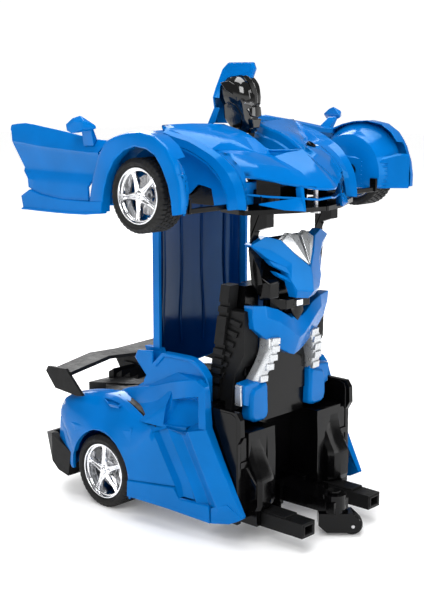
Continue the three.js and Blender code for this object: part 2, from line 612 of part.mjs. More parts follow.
function hoodTray() {
  const [px, pz] = HOOD_HINGE;
  const plate = plateZ([[-56.8, -1], [-56.8, 46], [-39, 50.4], [-34.6, 50.4], [-20, 20], [-15, 0],
    [-15, -1]], 194.4, 197);
  const boss = join(
    rodY(px, pz, 5, 22, 26.4), rodY(px, pz, 5, 33.6, 38),
    box(px - 5, px + 5, 22, 26.4, 195, pz), box(px - 5, px + 5, 33.6, 38, 195, pz),
  );
  const axle = rodY(px, pz, 2.2, 24, 36, 20);
  const slot = box(-64, -32, 26.4, 33.6, 190, 220);
  const cradle = plateY([
    [-56.6, 195], [-46, 195], [-46, 219], [-62, 231], [-84, 238.4], [-91, 236.4], [-92.4, 230],
      [-88, 226.4], [-62, 213],
    [-57.2, 207],
  ], 16.6, 19.4);
  const pinHole = rodY(HEAD_HINGE[0], HEAD_HINGE[1], 1.5 + GAP, 10, 30, 20);
  const bar = box(-56.6, -51, -1, 19.4, 195, 206);
  const half = cut(join(cut(join(plate, boss), slot), axle, cradle, bar), pinHole);
  const torsoRoom = box(-120, -60.6, -40, 40, 190, 211.6);
  return cut(both(half), rodZ(-24, 0, 1.5 + GAP, 190, 200), torsoRoom);
}

piece('hood_shell', hoodShell(), BLUE);
piece('hood_tray', hoodTray(), BLACK);
piece('hood_screw', join(rodZ(-24, 0, 1.5, 193.4, 211.5, 20), rodZ(-24, 0, 3, 192.6, 194.1)), STEEL);
piece('head_pin', rodY(HEAD_HINGE[0], HEAD_HINGE[1], 1.5, -19.3, 19.3, 20), STEEL);

// ---------------------------------------------------------------- head
function helmet() {
  const skull = hull([
    [-96, 9, 242], [-99, 8, 258], [-93, 7, 268], [-78, 7, 269], [-72.5, 9, 262], [-72, 9.5, 248],
      [-75, 7, 240.6],
    [-96, -9, 242], [-99, -8, 258], [-93, -7, 268], [-78, -7, 269], [-72.5, -9, 262], [-72, -9.5, 248],
      [-75, -7, 240.6],
  ]);
  const brow = hull([[-76, 9, 262], [-76, -9, 262], [-69.4, 4, 258], [-69.4, -4, 258], [-70, 0, 263],
    [-76, 8, 267],
    [-76, -8, 267]]);
  const mouth = hull([[-74, 6, 240], [-74, -6, 240], [-69, 3.4, 239.4], [-69, -3.4, 239.4], [-69, 4, 248],
    [-69, -4, 248],
    [-74, 7, 250], [-74, -7, 250]]);
  const cheekGuards = both(hull([[-90, 9, 246], [-90, 9, 260], [-76, 9, 240], [-76, 9, 262],
    [-78, 12.4, 244],
    [-78, 12.4, 258], [-86, 12.4, 248], [-86, 12.4, 258]]));
  const neck = join(rodY(HEAD_HINGE[0], HEAD_HINGE[1], 4.6, -6, 6, 28), box(-91.6, -82.4, -6, 6, 232, 244));
  return cut(join(skull, brow, mouth, cheekGuards, neck), rodY(HEAD_HINGE[0], HEAD_HINGE[1], 1.5 + GAP,
    -9, 9));
}

function crestPanel() {
  const outer = [[-92.6, 279], [-72.4, 279], [-70.8, 275.5], [-73.9, 270.6], [-92, 271], [-101.4, 258],
    [-104.6, 243],
    [-111, 242.5], [-105.9, 258]];
  const plate = plateY(outer, -13.4, 13.4);
  const flank = both(plateY([[-92.6, 279], [-76, 279], [-84, 268], [-90, 252], [-100, 246],
    [-105.9, 258]], 13.2, 15));
  const taper = plateX([[-1.2, 280], [1.2, 280], [13.5, 256], [15, 242], [-15, 242], [-13.5, 256]], -120,
    -60);
  return join(plate, flank).intersect(taper);
}

piece('helmet', helmet(), BLACK);
piece('crest_panel', crestPanel(), BLUE);

// ---------------------------------------------------------------- arms
const ARCH = [
  [-24, 202], [-25, 215], [-29, 226], [-35, 235], [-46, 241], [-62, 242.4], [-78, 239.4], [-88, 236.4],
];

function armShell() {
  const { x, z, inner } = FRONT_WHEEL;
  const skin = plateY([...ARCH, [-105, 237], [-162, 245], [-171, 241.4], [-153, 203], [-156, 200],
    [-151, 194.4],
    [-88, 196.4], [-86, 200], [-34, 199.2]], 105, 108.4);
  const bow = ARCH.map(([ax, az]) => [x + (ax - x) * 0.93, z + (az - z) * 0.93]).reverse();
  const band = plateY([...ARCH, ...bow], 96, 108.4);
  const step = cut(plateY([...ARCH, [-88, 200], [-34, 199.2]], 96, 97.6), rodY(x, z, 21.7, 90, 100, 32));
  const dome = rodY(x, z, 23.4, inner - 3.4, 97, 32);
  const room = rodY(x, z, 21.7, inner - 1.8, 110, 32);
  const liner = cut(dome, box(-100, -20, 80, 110, 150, 196));
  const doorTop = hull([[-105, 96, 233.5], [-105, 105.2, 237], [-162, 105.2, 245], [-160, 101.5, 242.5],
    [-105, 96, 231.5],
    [-105, 105.2, 234], [-162, 105.2, 242]]);
  const doorLow = hull([[-90, 105.2, 212], [-150, 105.2, 216], [-152, 105.2, 200], [-90, 105.2, 197],
    [-92, 110.5, 203],
    [-149, 110.5, 203], [-92, 110.5, 198.6], [-148, 110.5, 197]]);
  const stalk = hull([[-102, 107, 234], [-94, 107, 234], [-102, 109.6, 246], [-95, 109.6, 246],
    [-102, 104, 236],
    [-95, 106, 246], [-102, 106, 246], [-94, 105, 235]]);
  const mirrorHead = hull([[-112, 108, 246], [-112, 113, 246.5], [-110, 111, 249.4], [-90, 104.5, 246],
    [-90, 112, 246],
    [-98, 110, 252.4], [-112, 108.4, 243.4], [-91, 105, 244], [-108, 113.4, 243.6], [-91, 111.6, 244]]);
  const opening = rodY(x, z, 24.6, 97.4, 120, 36);
  const doorGap = plateY([[-86.6, 199], [-85, 190], [-35, 190], [-35, 199]], 80, 120);
  const all = join(skin, band, step, liner, doorTop, doorLow, stalk, mirrorHead);
  const linkRoom = box(-31.3, -25.2, 90, 105, 199.5, 212.3);
  return cut(all, room, opening, doorGap, linkRoom, rodY(x, z, 1.8 + GAP, 80, 100, 16));
}

function armLink() {
  return join(box(-30.5, -25.5, 41, 104.7, 199.8, 205.2), box(-31, -26, 88, 104.7, 199.8, 212));
}

pair('arm_shell', armShell(), BLUE);
pair('arm_link', armLink(), BLACK);
pair('front_axle', rodY(FRONT_WHEEL.x, FRONT_WHEEL.z, 1.8, 82.6, 102), STEEL);

export default toy;
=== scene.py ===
# Transforming robot car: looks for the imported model.
# Points are written in millimetres in the robot's own frame, whose X = 0 is the front of the feet;
# at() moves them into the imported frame, in metres.
import json
import math

import bmesh
import bpy
from mathutils import Matrix, Vector


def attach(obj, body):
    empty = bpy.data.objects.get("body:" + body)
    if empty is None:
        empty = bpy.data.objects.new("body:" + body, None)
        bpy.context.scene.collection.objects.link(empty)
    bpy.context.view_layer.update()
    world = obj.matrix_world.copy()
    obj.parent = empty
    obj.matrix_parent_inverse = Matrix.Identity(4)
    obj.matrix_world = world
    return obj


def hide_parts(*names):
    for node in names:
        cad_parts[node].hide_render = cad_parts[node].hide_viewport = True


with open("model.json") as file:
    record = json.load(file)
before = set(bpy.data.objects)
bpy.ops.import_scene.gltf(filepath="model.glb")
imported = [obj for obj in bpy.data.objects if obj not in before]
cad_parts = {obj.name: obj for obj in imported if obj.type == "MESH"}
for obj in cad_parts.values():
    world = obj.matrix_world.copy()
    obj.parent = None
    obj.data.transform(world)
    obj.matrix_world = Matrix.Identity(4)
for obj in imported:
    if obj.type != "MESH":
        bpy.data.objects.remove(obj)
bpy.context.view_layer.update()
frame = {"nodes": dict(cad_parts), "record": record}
nodes = frame["nodes"]

MM = 0.001
ORIGIN_X = -96.85
SIDES = (("right", -1), ("left", 1))
BLUE, BLACK, CHARCOAL, SILVER = "blue_plastic", "black_plastic", "charcoal_plastic", "silver_plastic"
REAR_WHEEL = (-141.5, 23.6)
FRONT_WHEEL = (-63.0, 207.5)


def at(x, y, z):
    return Vector(((x - ORIGIN_X) * MM, y * MM, z * MM))


# ---------------------------------------------------------------- materials
class Shader:
    """A Principled material with helpers that wire procedural detail into it."""

    def __init__(self, name, color, **constants):
        self.material = bpy.data.materials.new(name)
        self.material.use_nodes = True
        self.tree = self.material.node_tree
        self.shader = self.tree.nodes["Principled BSDF"]
        self.color = color
        self.shader.inputs["Base Color"].default_value = (*color, 1)
        for key, value in constants.items():
            self.shader.inputs[key.replace("_", " ")].default_value = value
        self.place = self.tree.nodes.new("ShaderNodeTexCoord").outputs["Object"]

    def node(self, kind, **values):
        made = self.tree.nodes.new("ShaderNode" + kind)
        for key, value in values.items():
            if hasattr(made, key):
                setattr(made, key, value)
            else:
                made.inputs[key].default_value = value
        return made

    def link(self, source, target):
        self.tree.links.new(source, target)

    def noise(self, scale, detail=2.0, stretch=None):
        texture = self.node("TexNoise", Scale=scale, Detail=detail)
        if stretch:
            mapping = self.node("Mapping", Scale=stretch)
            self.link(self.place, mapping.inputs["Vector"])
            self.link(mapping.outputs["Vector"], texture.inputs["Vector"])
        else:
            self.link(self.place, texture.inputs["Vector"])
        return texture.outputs["Fac"]

    def ramp(self, source, low, high, start=0.35, end=0.65):
        made = self.node("MapRange")
        for name, value in (("From Min", start), ("From Max", end), ("To Min", low), ("To Max", high)):
            made.inputs[name].default_value = value
        self.link(source, made.inputs["Value"])
        return made.outputs["Result"]

    def tint(self, source, other, start=0.35, end=0.65):
        blend = self.node("Mix", data_type="RGBA")
        blend.inputs["A"].default_value = (*self.color, 1)
        blend.inputs["B"].default_value = (*other, 1)
        self.link(self.ramp(source, 0, 1, start, end), blend.inputs["Factor"])
        self.link(blend.outputs["Result"], self.shader.inputs["Base Color"])

    def roughness(self, source, low, high):
        self.link(self.ramp(source, low, high), self.shader.inputs["Roughness"])

    def bump(self, source, distance, strength=1.0):
        made = self.node("Bump", Distance=distance, Strength=strength)
        self.link(source, made.inputs["Height"])
        self.link(made.outputs["Normal"], self.shader.inputs["Normal"])


def shade(color, factor):
    return tuple(c * factor for c in color)


def gloss(name, color, rough=(0.12, 0.22), sheen=(1, 1, 1), shine=0.5):
    """Glossy moulded plastic: slow flow marks in the colour and sheen, and a faint orange peel."""
    made = Shader(name, color, Specular_Tint=(*sheen, 1), IOR=1.5, Specular_IOR_Level=shine)
    made.tint(made.noise(38, 3), shade(color, 0.86))
    made.roughness(made.noise(160, 3), *rough)
    made.bump(made.noise(700, 2), 0.00004, 0.5)
    return made.material


def satin(name, color, rough=(0.38, 0.5), grain=2600, depth=0.00006):
    """Satin moulded plastic with a fine spark-eroded grain."""
    made = Shader(name, color, IOR=1.48, Specular_IOR_Level=0.14)
    made.tint(made.noise(60, 3), shade(color, 1.35))
    made.roughness(made.noise(220, 2), *rough)
    made.bump(made.noise(grain, 3), depth, 0.8)
    return made.material


def rubber(name):
    made = Shader(name, (0.0035, 0.0035, 0.004), IOR=1.45, Specular_IOR_Level=0.3)
    made.tint(made.noise(90, 4), (0.009, 0.009, 0.0085))
    made.roughness(made.noise(300, 3), 0.55, 0.75)
    made.bump(made.noise(1800, 4), 0.0001, 0.7)
    return made.material


def plated(name, color, rough):
    """Vacuum plated chrome: mirror bright with slight haze and ripples."""
    made = Shader(name, color, Metallic=1.0)
    made.tint(made.noise(120, 2), shade(color, 0.88))
    made.roughness(made.noise(260, 3), *rough)
    made.bump(made.noise(500, 2), 0.00003, 0.5)
    return made.material


def brushed(name, color):
    made = Shader(name, color, Metallic=1.0)
    made.tint(made.noise(500, 4, (1, 12, 1)), shade(color, 0.75))
    made.roughness(made.noise(700, 4, (1, 14, 1)), 0.22, 0.4)
    made.bump(made.noise(1500, 3, (1, 20, 1)), 0.00002, 0.6)
    return made.material


def flaked(name, color):
    """Silver paint over plastic, with fine metal flake."""
    made = Shader(name, color, Metallic=0.75, Coat_Weight=0.3, Coat_Roughness=0.1)
    cells = made.node("TexVoronoi", Scale=2400.0)
    made.link(made.place, cells.inputs["Vector"])
    made.tint(cells.outputs["Distance"], shade(color, 0.72), 0.2, 0.8)
    made.roughness(made.noise(300, 3), 0.24, 0.36)
    made.bump(cells.outputs["Distance"], 0.00002, 0.4)
    return made.material


def masked(name):
    """Circuit board: solder mask with copper tracks showing as raised, lighter lines."""
    made = Shader(name, (0.01, 0.11, 0.04), Coat_Weight=0.5, Coat_Roughness=0.12)
    tracks = made.node("TexBrick", Scale=260.0)
    made.link(made.place, tracks.inputs["Vector"])
    made.tint(tracks.outputs["Fac"], (0.05, 0.26, 0.09), 0.1, 0.9)
    made.roughness(made.noise(400, 2), 0.25, 0.4)
    made.bump(tracks.outputs["Fac"], 0.00008, 0.6)
    return made.material


MATERIALS = {
    BLUE: gloss(BLUE, (0.0, 0.125, 0.43), (0.1, 0.18), (0.15, 0.6, 1.0), 0.34),
    BLACK: gloss(BLACK, (0.0012, 0.0012, 0.0014), (0.12, 0.22), shine=0.2),
    CHARCOAL: satin(CHARCOAL, (0.0045, 0.0046, 0.0048)),
    SILVER: flaked(SILVER, (0.62, 0.64, 0.66)),
    "tyre_rubber": rubber("tyre_rubber"),
    "chrome": plated("chrome", (0.86, 0.87, 0.89), (0.05, 0.13)),
    "steel": brushed("steel", (0.6, 0.6, 0.61)),
    "battery_wrap": satin("battery_wrap", (0.03, 0.09, 0.24), (0.25, 0.35), 900, 0.00003),
    "circuit_board": masked("circuit_board"),
}


# ---------------------------------------------------------------- pieces
def linked(name, data):
    made = bpy.data.objects.new(name, data)
    bpy.context.scene.collection.objects.link(made)
    return made


def dress(piece, slot, body):
    piece.data.materials.clear()
    piece.data.materials.append(MATERIALS[slot])
    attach(piece, body)
    return piece


def soften(piece, width, segments=2, angle=32):
    """Rounds the hard edges of a piece, as moulded plastic has them."""
    bevel = piece.modifiers.new("edges", "BEVEL")
    bevel.width = width * MM
    bevel.segments = segments
    bevel.limit_method = "ANGLE"
    bevel.angle_limit = math.radians(angle)
    bevel.harden_normals = False
    bevel.use_clamp_overlap = True
    normals = piece.modifiers.new("normals", "WEIGHTED_NORMAL")
    normals.keep_sharp = True


def merge_flats(piece):
    """Joins the coplanar triangles of a faceted CAD mesh, so that only real edges are rounded."""
    flat = piece.modifiers.new("flat", "DECIMATE")
    flat.decimate_type = "DISSOLVE"
    flat.angle_limit = math.radians(1.0)


def smooth(piece, angle=32):
    for polygon in piece.data.polygons:
        polygon.use_smooth = True
    piece.data.set_sharp_from_angle(angle=math.radians(angle))


def new_piece(name, verts, faces, slot, body):
    """A mesh from points in millimetres in the robot's frame."""
    mesh = bpy.data.meshes.new(name)
    mesh.from_pydata([at(*v) for v in verts], [], faces)
    made = bmesh.new()
    made.from_mesh(mesh)
    bmesh.ops.remove_doubles(made, verts=made.verts, dist=0.00002)
    bmesh.ops.recalc_face_normals(made, faces=made.faces)
    made.to_mesh(mesh)
    made.free()
    return dress(linked(name, mesh), slot, body)


# ---------------------------------------------------------------- CAD nodes that stay
SLOTS = {s["node"]: s["material_slot"] for s in frame["record"]["subparts"]}
for name, node in nodes.items():
    slot = SLOTS[name]
    node.data.materials.clear()
    node.data.materials.append(MATERIALS[slot])
    merge_flats(node)
    curved = name == "roof_panel"
    smooth(node, 75 if curved else 30)
    if not curved:
        soften(node, 0.5)


# ---------------------------------------------------------------- mesh building
class Net:
    """Points and faces in millimetres in the robot's frame, gathered before they become a piece."""

    def __init__(self):
        self.verts, self.faces = [], []

    def add(self, verts, faces):
        first = len(self.verts)
        self.verts += [tuple(v) for v in verts]
        self.faces += [tuple(first + i for i in face) for face in faces]
        return self

    def patch(self, *corners):
        return self.add(corners, [tuple(range(len(corners)))])

    def strip(self, *rows, ring=False):
        """Quads between rows of points; a ring also joins each row's last point to its first."""
        count = len(rows[0])
        faces = []
        for i in range(len(rows) - 1):
            for j in range(count if ring else count - 1):
                k = (j + 1) % count
                faces.append((i * count + j, i * count + k, (i + 1) * count + k, (i + 1) * count + j))
        return self.add([p for row in rows for p in row], faces)

    def lathe(self, profile, x, z, steps=64, closed=True):
        """Turns a profile of (radius, y) about a line along Y."""
        rows = []
        for r, y in profile + ([profile[0]] if closed else []):
            rows.append([around(x, z, r, 2 * math.pi * k / steps, y) for k in range(steps)])
        return self.strip(*rows, ring=True)

    def hull(self, points):
        made = bmesh.new()
        for p in points:
            made.verts.new(p)
        found = bmesh.ops.convex_hull(made, input=made.verts)
        spare = found["geom_interior"] + found["geom_unused"]
        loose = {v for v in spare if isinstance(v, bmesh.types.BMVert)}
        bmesh.ops.delete(made, geom=list(loose), context="VERTS")
        bmesh.ops.dissolve_limit(made, angle_limit=math.radians(2), verts=made.verts, edges=made.edges)
        made.verts.index_update()
        self.add([v.co[:] for v in made.verts], [[v.index for v in f.verts] for f in made.faces])
        made.free()
        return self

    def block(self, x0, x1, y0, y1, z0, z1):
        return self.hull([(x, y, z) for x in (x0, x1) for y in (y0, y1) for z in (z0, z1)])

    def slab(self, outline, y0, y1):
        """An outline of (x, z) points with a thickness along Y."""
        count = len(outline)
        near = [(x, y0, z) for x, z in outline]
        far = [(x, y1, z) for x, z in outline]
        self.strip(near, far, ring=True)
        return self.add(near, [tuple(range(count))]).add(far, [tuple(reversed(range(count)))])

    def mirrored(self):
        other = Net()
        return other.add([(x, -y, z) for x, y, z in self.verts], [tuple(reversed(f)) for f in self.faces])

    def doubled(self):
        other = self.mirrored()
        return self.add(other.verts, other.faces)

    def piece(self, name, slot, body, stands_for=(), wall=0.0, edge=0.4, angle=30, levels=0, segments=2):
        """Makes the piece: optional subdivision, a wall behind the skin, and rounded edges."""
        made = new_piece(name, self.verts, self.faces, slot, body)
        if levels:
            rounded = made.modifiers.new("rounded", "SUBSURF")
            rounded.levels = rounded.render_levels = levels
        if wall:
            walled = made.modifiers.new("wall", "SOLIDIFY")
            walled.thickness = wall * MM
            walled.offset = -1
            walled.use_even_offset = False
        smooth(made, angle)
        if edge:
            soften(made, edge, segments, angle)
        if stands_for:
            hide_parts(*stands_for)
        return made


def pair(net, name, slot, body, replaced=(), **look):
    """Makes the piece from a left-hand net and its mirror image; {} in body stands for the side."""
    for side, sign in SIDES:
        placed = net if sign > 0 else net.mirrored()
        placed.piece(f"{name}_{side}", slot, body.format(side), [f"{node}_{side}" for node in replaced],
            **look)


def moved(line, dx, dy, dz):
    return [(x + dx, y + dy, z + dz) for x, y, z in line]


def level(outline, y, dx=0, dz=0):
    """The (x, z) points of an outline at one Y."""
    return [(x + dx, y, z + dz) for x, z in outline]


def around(x, z, radius, turn, y):
    """The point at that angle on a circle about a line along Y."""
    return (x + radius * math.cos(turn), y, z + radius * math.sin(turn))


def lerp(a, b, t):
    return tuple(p + (q - p) * t for p, q in zip(a, b))


def curve(points, steps):
    """A smooth line through the points (Catmull-Rom), with that many steps between each pair."""
    ends = [points[0]] + list(points) + [points[-1]]
    line = []
    for i in range(1, len(ends) - 2):
        for k in range(steps):
            t = k / steps
            point = []
            for a, b, c, d in zip(*ends[i - 1:i + 3]):
                square, cube = 2 * a - 5 * b + 4 * c - d, 3 * b - a - 3 * c + d
                point.append(0.5 * (2 * b + (c - a) * t + square * t * t + cube * t ** 3))
            line.append(tuple(point))
    return line + [tuple(points[-1])]


# ---------------------------------------------------------------- wheels
def tyre_net(x, z, r, rim, inner, outer, blocks):
    """Tread blocks in five staggered ribs between grooves, lugs on the shoulders and a bulged sidewall."""
    depth, steps = 0.6, blocks * 4
    wide = outer - inner
    side = [(rim + 0.2, 1.5), (rim + 1.0, 0.8), (rim + 1.2, 0.3), (rim + (r - rim) * 0.5, 0.0),
        (r - 1.9, 0.45)]
    rings = [(radius, inner + y, None) for radius, y in side]
    rings += [(r - 1.0, inner + 0.9, 0), (r - 0.2, inner + 1.6, 0)]
    pitch, rib, slope = 0.165, 0.13, 0.008      # as parts of the tyre's width
    for k in range(5):
        start = 0.1 + k * pitch
        end = start + rib
        shift = 2 * (k % 2)
        if k:
            rings.append((r - depth, inner + wide * (start - slope), None))
        rings += [(r, inner + wide * start, shift), (r, inner + wide * end, shift)]
        if k < 4:
            rings.append((r - depth, inner + wide * (end + slope), None))
    rings += [(r - 0.2, outer - 1.6, 0), (r - 1.0, outer - 0.9, 0)]
    rings += [(radius, outer - y, None) for radius, y in reversed(side)]
    rows = []
    for radius, y, shift in rings:
        row = []
        for k in range(steps):
            low = shift is not None and (k + shift) % 4 == 0
            turn = 2 * math.pi * (k + 0.3 * (low is False)) / steps
            reach = radius - depth if low else radius
            row.append(around(x, z, reach, turn, y))
        rows.append(row)
    return Net().strip(*rows, rows[0], ring=True)


def rim_net(x, z, r, inner, outer, phase):
    """Five split spokes, a double lip, a stepped hub with nuts."""
    face = outer - 1.5
    net = Net().lathe([(r, inner + 2.5), (r, face - 0.2), (r - 0.3, face + 0.3), (r - 1.1, face + 0.3),
        (r - 1.3, face - 0.5), (r - 1.5, face - 1.5), (r - 2.3, face - 1.6), (r - 2.5, face - 2.3),
        (r - 2.9, face - 6), (r - 3.0, inner + 3.4), (r - 1.2, inner + 2.5)], x, z, 72)
    k = r / 18
    net.lathe([(0.01, face + 0.5), (1.5 * k, face + 0.5), (1.9 * k, face + 0.1), (2.2 * k, face - 0.7),
        (3.4 * k, face - 1.0), (3.7 * k, face - 1.9), (5.0 * k, face - 3.4), (5.0 * k, face - 8),
        (2.2 * k, face - 8), (2.2 * k, face - 3), (0.01, face - 3)], x, z, 40, closed=False)
    stations = [(2.4, 2.5, -0.9), (5.0, 2.35, -1.0), (8.0, 1.75, -1.4), (11.0, 1.5, -1.8),
        (14.0, 1.75, -2.0), (16.2, 2.5, -1.9)]
    section = [(-1, -3.4), (-1, -0.9), (-0.8, -0.1), (-0.45, 0), (0, -1.0), (0.45, 0), (0.8, -0.1),
        (1, -0.9), (1, -3.4)]
    for spoke in range(5):
        turn = math.radians(phase + spoke * 72)
        rows = []
        for reach, half, rise in stations:
            rows.append([])
            for across, drop in section:
                u, v = reach * k, across * half * k
                rows[-1].append((x + u * math.cos(turn) - v * math.sin(turn), face + rise + drop * k,
                    z + u * math.sin(turn) + v * math.cos(turn)))
        net.strip(*rows, ring=True)
        nut = turn + math.pi / 5
        net.lathe([(0.01, face - 1.3), (0.55, face - 1.3), (0.75, face - 1.6), (0.75, face - 3.4)],
            x + 4.1 * k * math.cos(nut), z + 4.1 * k * math.sin(nut), 10, closed=False)
    return net


def disc_net(x, z, r, outer):
    """Moulded brake disc with vanes, and its caliper."""
    depth = outer - 9.5
    steps = 60
    rows = []
    for radius, y, vaned in ((5.2, depth - 1.6, 0), (5.2, depth, 0), (6.2, depth + 0.4, 0), (6.6, depth, 1),
            (r * 0.66, depth, 1), (r * 0.7, depth - 0.2, 0), (r * 0.7, depth - 1.6, 0),
            (5.2, depth - 1.6, 0)):
        rows.append([])
        for k in range(steps):
            turn = 2 * math.pi * k / steps
            rows[-1].append(around(x, z, radius, turn, y - 0.5 * vaned * (k % 2)))
    net = Net().strip(*rows, ring=True)
    pad = []
    for turn in (-0.42, -0.2, 0.0, 0.2, 0.42):
        for radius, y in ((r * 0.5, depth + 1.6), (r * 0.74, depth + 1.9), (r * 0.8, depth + 0.6),
                (r * 0.5, depth + 0.2)):
            pad.append(around(x, z, radius, turn, y))
    return net.hull(pad)


def wheels():
    sets = (("rear", REAR_WHEEL, (23.6, 18, 45, 66), 46, 95),
        ("front", FRONT_WHEEL, (20.6, 15.8, 88, 107), 42, 115))
    for end, (x, z), (r, rim, inner, outer), blocks, phase in sets:
        body = end + "_wheel_{}"
        pair(tyre_net(x, z, r, rim, inner, outer, blocks), f"{end}_tyre_tread", "tyre_rubber", body,
            [f"{end}_tyre"], edge=0)
        pair(rim_net(x, z, rim, inner, outer, phase), f"{end}_rim_spokes", "chrome", body, [f"{end}_rim"],
            edge=0.18, angle=25)
        pair(disc_net(x, z, rim, outer), f"{end}_brake_disc", "steel", body, edge=0.12)


wheels()


# ---------------------------------------------------------------- arms
FLANGE_DEPTH = 97          # how far in the top of the fender reaches
FRONT_DEPTH = 103.4        # and how far in its front edge reaches
ARCH = [  # outer point, opening point, inner reach of the flange
    ((-28.2, 200.5), (-34.2, 199.4), FRONT_DEPTH), ((-28.0, 208), (-35.2, 207), FRONT_DEPTH),
    ((-29.4, 216.5), (-37.4, 215.2), FRONT_DEPTH), ((-33.0, 226), (-41.4, 222.8), FRONT_DEPTH),
    ((-34.6, 228.6), (-43.0, 225.2), FRONT_DEPTH), ((-35.0, 229.4), (-43.4, 225.8), FLANGE_DEPTH),
    ((-39.5, 235.2), (-47, 230.2), FLANGE_DEPTH), ((-47.5, 240.2), (-53.6, 233.2), FLANGE_DEPTH),
    ((-59, 242.2), (-62.5, 234.2), FLANGE_DEPTH), ((-70, 241.4), (-71, 231.6), FLANGE_DEPTH),
    ((-79, 239.4), (-78.6, 226), FLANGE_DEPTH), ((-87, 236.4), (-84, 218), FLANGE_DEPTH),
]
CREASE = [((-92.5, 229.5), (-87, 210)), ((-97.5, 217.8), (-88.2, 205)), ((-100.6, 205.5), (-88.4, 200.5)),
    ((-102, 197.4), (-88.4, 197))]
HOUSING = (-66.5, 208.5)


def arm_shell_net():
    """Wheel arch with its returned flange, and the door behind it."""
    rows = [[] for _ in range(8)]
    for (ox, oz), (ix, iz), reach in ARCH + [(outer, inner, None) for outer, inner in CREASE]:
        sets = ((0.06, reach), (0.0, reach), (0.0, 105.2), (0.06, 106.8), (0.22, 107.7), (0.9, 108.3),
            (1.0, 107.8), (1.0, 102.5))
        for row, (t, y) in zip(rows, sets):
            y = 105.4 if reach is None and (y is None or y < 106) and t < 0.5 else y
            row.append((ox + (ix - ox) * t, y, oz + (iz - oz) * t))
    net = Net().strip(*rows)
    top = [(-87, 236.4), (-97, 236.6), (-107.4, 237.9), (-124.7, 240.2), (-142.6, 242.2), (-159, 243.8),
        (-172, 242.4)]
    band = [(-92.5, 229.5), (-99, 229.4), (-108.5, 229.6), (-125, 230.2), (-143, 231.0), (-158, 232.4),
        (-168.6, 233)]
    waist = [(-97.5, 217.8), (-102, 217.6), (-110, 217.5), (-125, 217.4), (-142, 217.4), (-154, 217.3),
        (-160.6, 217)]
    sill = [(-101.4, 202.4), (-104, 202.2), (-111, 202.0), (-126, 201.8), (-141.9, 203.2), (-150, 205),
        (-154.6, 206.6)]
    door = [
        [(x, 97 + 1.2 * k, z - 3.4) for k, (x, z) in enumerate(top)],
        [(x, 97.5 + 1.1 * k, z - 0.6) for k, (x, z) in enumerate(top)],
        level(top, 104.6),
        level(top, 105.4, 0, -1.2),
        level(band, 107.4),
        level(band, 106.3, 0, -2.2),
        level(waist, 104.8, 0, 0.8),
        level(waist, 105.4, 0, -1.4),
        [(x, 107.6, (a + z) / 2) for (x, z), (_, a) in zip(sill, waist)],
        level(sill, 107.2),
    ]
    return net.strip(*[curve(row, 2) for row in door])


def sill_net():
    tops = [(-88.4, 203.2), (-100, 202.2), (-112, 201.9), (-126.1, 201.8), (-141.9, 203.2), (-152.5, 205.5),
        (-160.2, 201.4)]
    lows = [(-88.4, 197.4), (-100.2, 196), (-112, 195.4), (-126.4, 195), (-142, 194.8), (-152.5, 194.8),
        (-157.6, 194.6)]
    rows = [
        level(tops, 105.4, 0, 0.3), level(tops, 108.6, 0, -0.2), level(lows, 109.4),
        level(lows, 110.4, -0.4, -0.2), level(lows, 110.4, -0.4, -1.3),
        level(lows, 104.8, 0, -1.4), level(lows, 104.8, 0, 0.6),
    ]
    net = Net().strip(*rows, rows[0])
    for k in (0, -1):
        net.patch(*[row[k] for row in rows])
    return net


def mirror_net():
    head = Net().hull(
        [(-99, 113.5, 249.9), (-91, 109.5, 244.6), (-90.3, 109.5, 242.8), (-92.9, 110.5, 241.8),
        (-104, 115, 248.4), (-109.5, 115.6, 244.6), (-107.6, 116.6, 241.4), (-103.3, 116.6, 239.9),
        (-98.9, 115, 240.5), (-94, 116, 243.2), (-94, 115.6, 247), (-100, 116.6, 246.8)])
    stalk = Net().hull(
        [(-104.3, 107.2, 232.6), (-95.6, 107.2, 233), (-104.3, 104.4, 236.6), (-95.6, 104.4, 236),
        (-101, 111.8, 242.4), (-93.2, 111.4, 243), (-100.4, 109.8, 243), (-93.6, 109.4, 243.4)])
    return head, stalk


def liner_net():
    """The bulged wheel housing on the inner side, cut off level at the bottom."""
    x, z = HOUSING
    bottom = 199.4
    profile = [(33.2, 101.5), (30.4, 98), (27.6, 94.6), (26.2, 90.6), (24.8, 87.6), (21.5, 86), (16, 85.2),
        (8, 84.9), (2.4, 84.8)]
    net = Net().lathe(profile, x, z, closed=False)
    low = {i for i, v in enumerate(net.verts) if v[2] < bottom}
    net.faces = [f for f in net.faces if not all(i in low for i in f)]
    net.verts = [(vx, vy, max(vz, bottom)) for vx, vy, vz in net.verts]
    return net


def pad_net():
    """The lower front of the housing: a slanting ribbed plate with a level top edge."""
    plan = [(-29.2, 103.2, 221), (-31.8, 100.3, 221.5), (-35, 97.6, 221.5), (-39.4, 93.6, 219.8),
        (-42.6, 89.6, 218.6), (-50, 86, 218.4), (-59, 84.4, 219.6), (-70, 84, 220)]
    rows = [[(x, y, 199.3) for x, y, z in plan], moved(plan, 0, 0, -1.2),
            moved(plan, -0.6, 0.9, 0), moved(plan, -2.5, 3.6, 0)]
    net = Net().strip(*rows)
    for k in range(6):
        low = 201.2 + k * 2.8
        net.hull([(-42.4, 89.7, low), (-41.9, 88.9, low + 0.4), (-41.9, 88.9, low + 1.4),
            (-42.4, 89.7, low + 1.8), (-39.6, 93.6, low), (-38.9, 93.0, low + 0.4),
            (-38.9, 93.0, low + 1.4), (-39.6, 93.6, low + 1.8)])
        net.hull([(-54, 85.4, low), (-54, 84.8, low + 0.5), (-54, 84.8, low + 1), (-54, 85.4, low + 1.5),
            (-44, 89, low), (-44, 88.4, low + 0.5), (-44, 88.4, low + 1), (-44, 89, low + 1.5)])
    return net


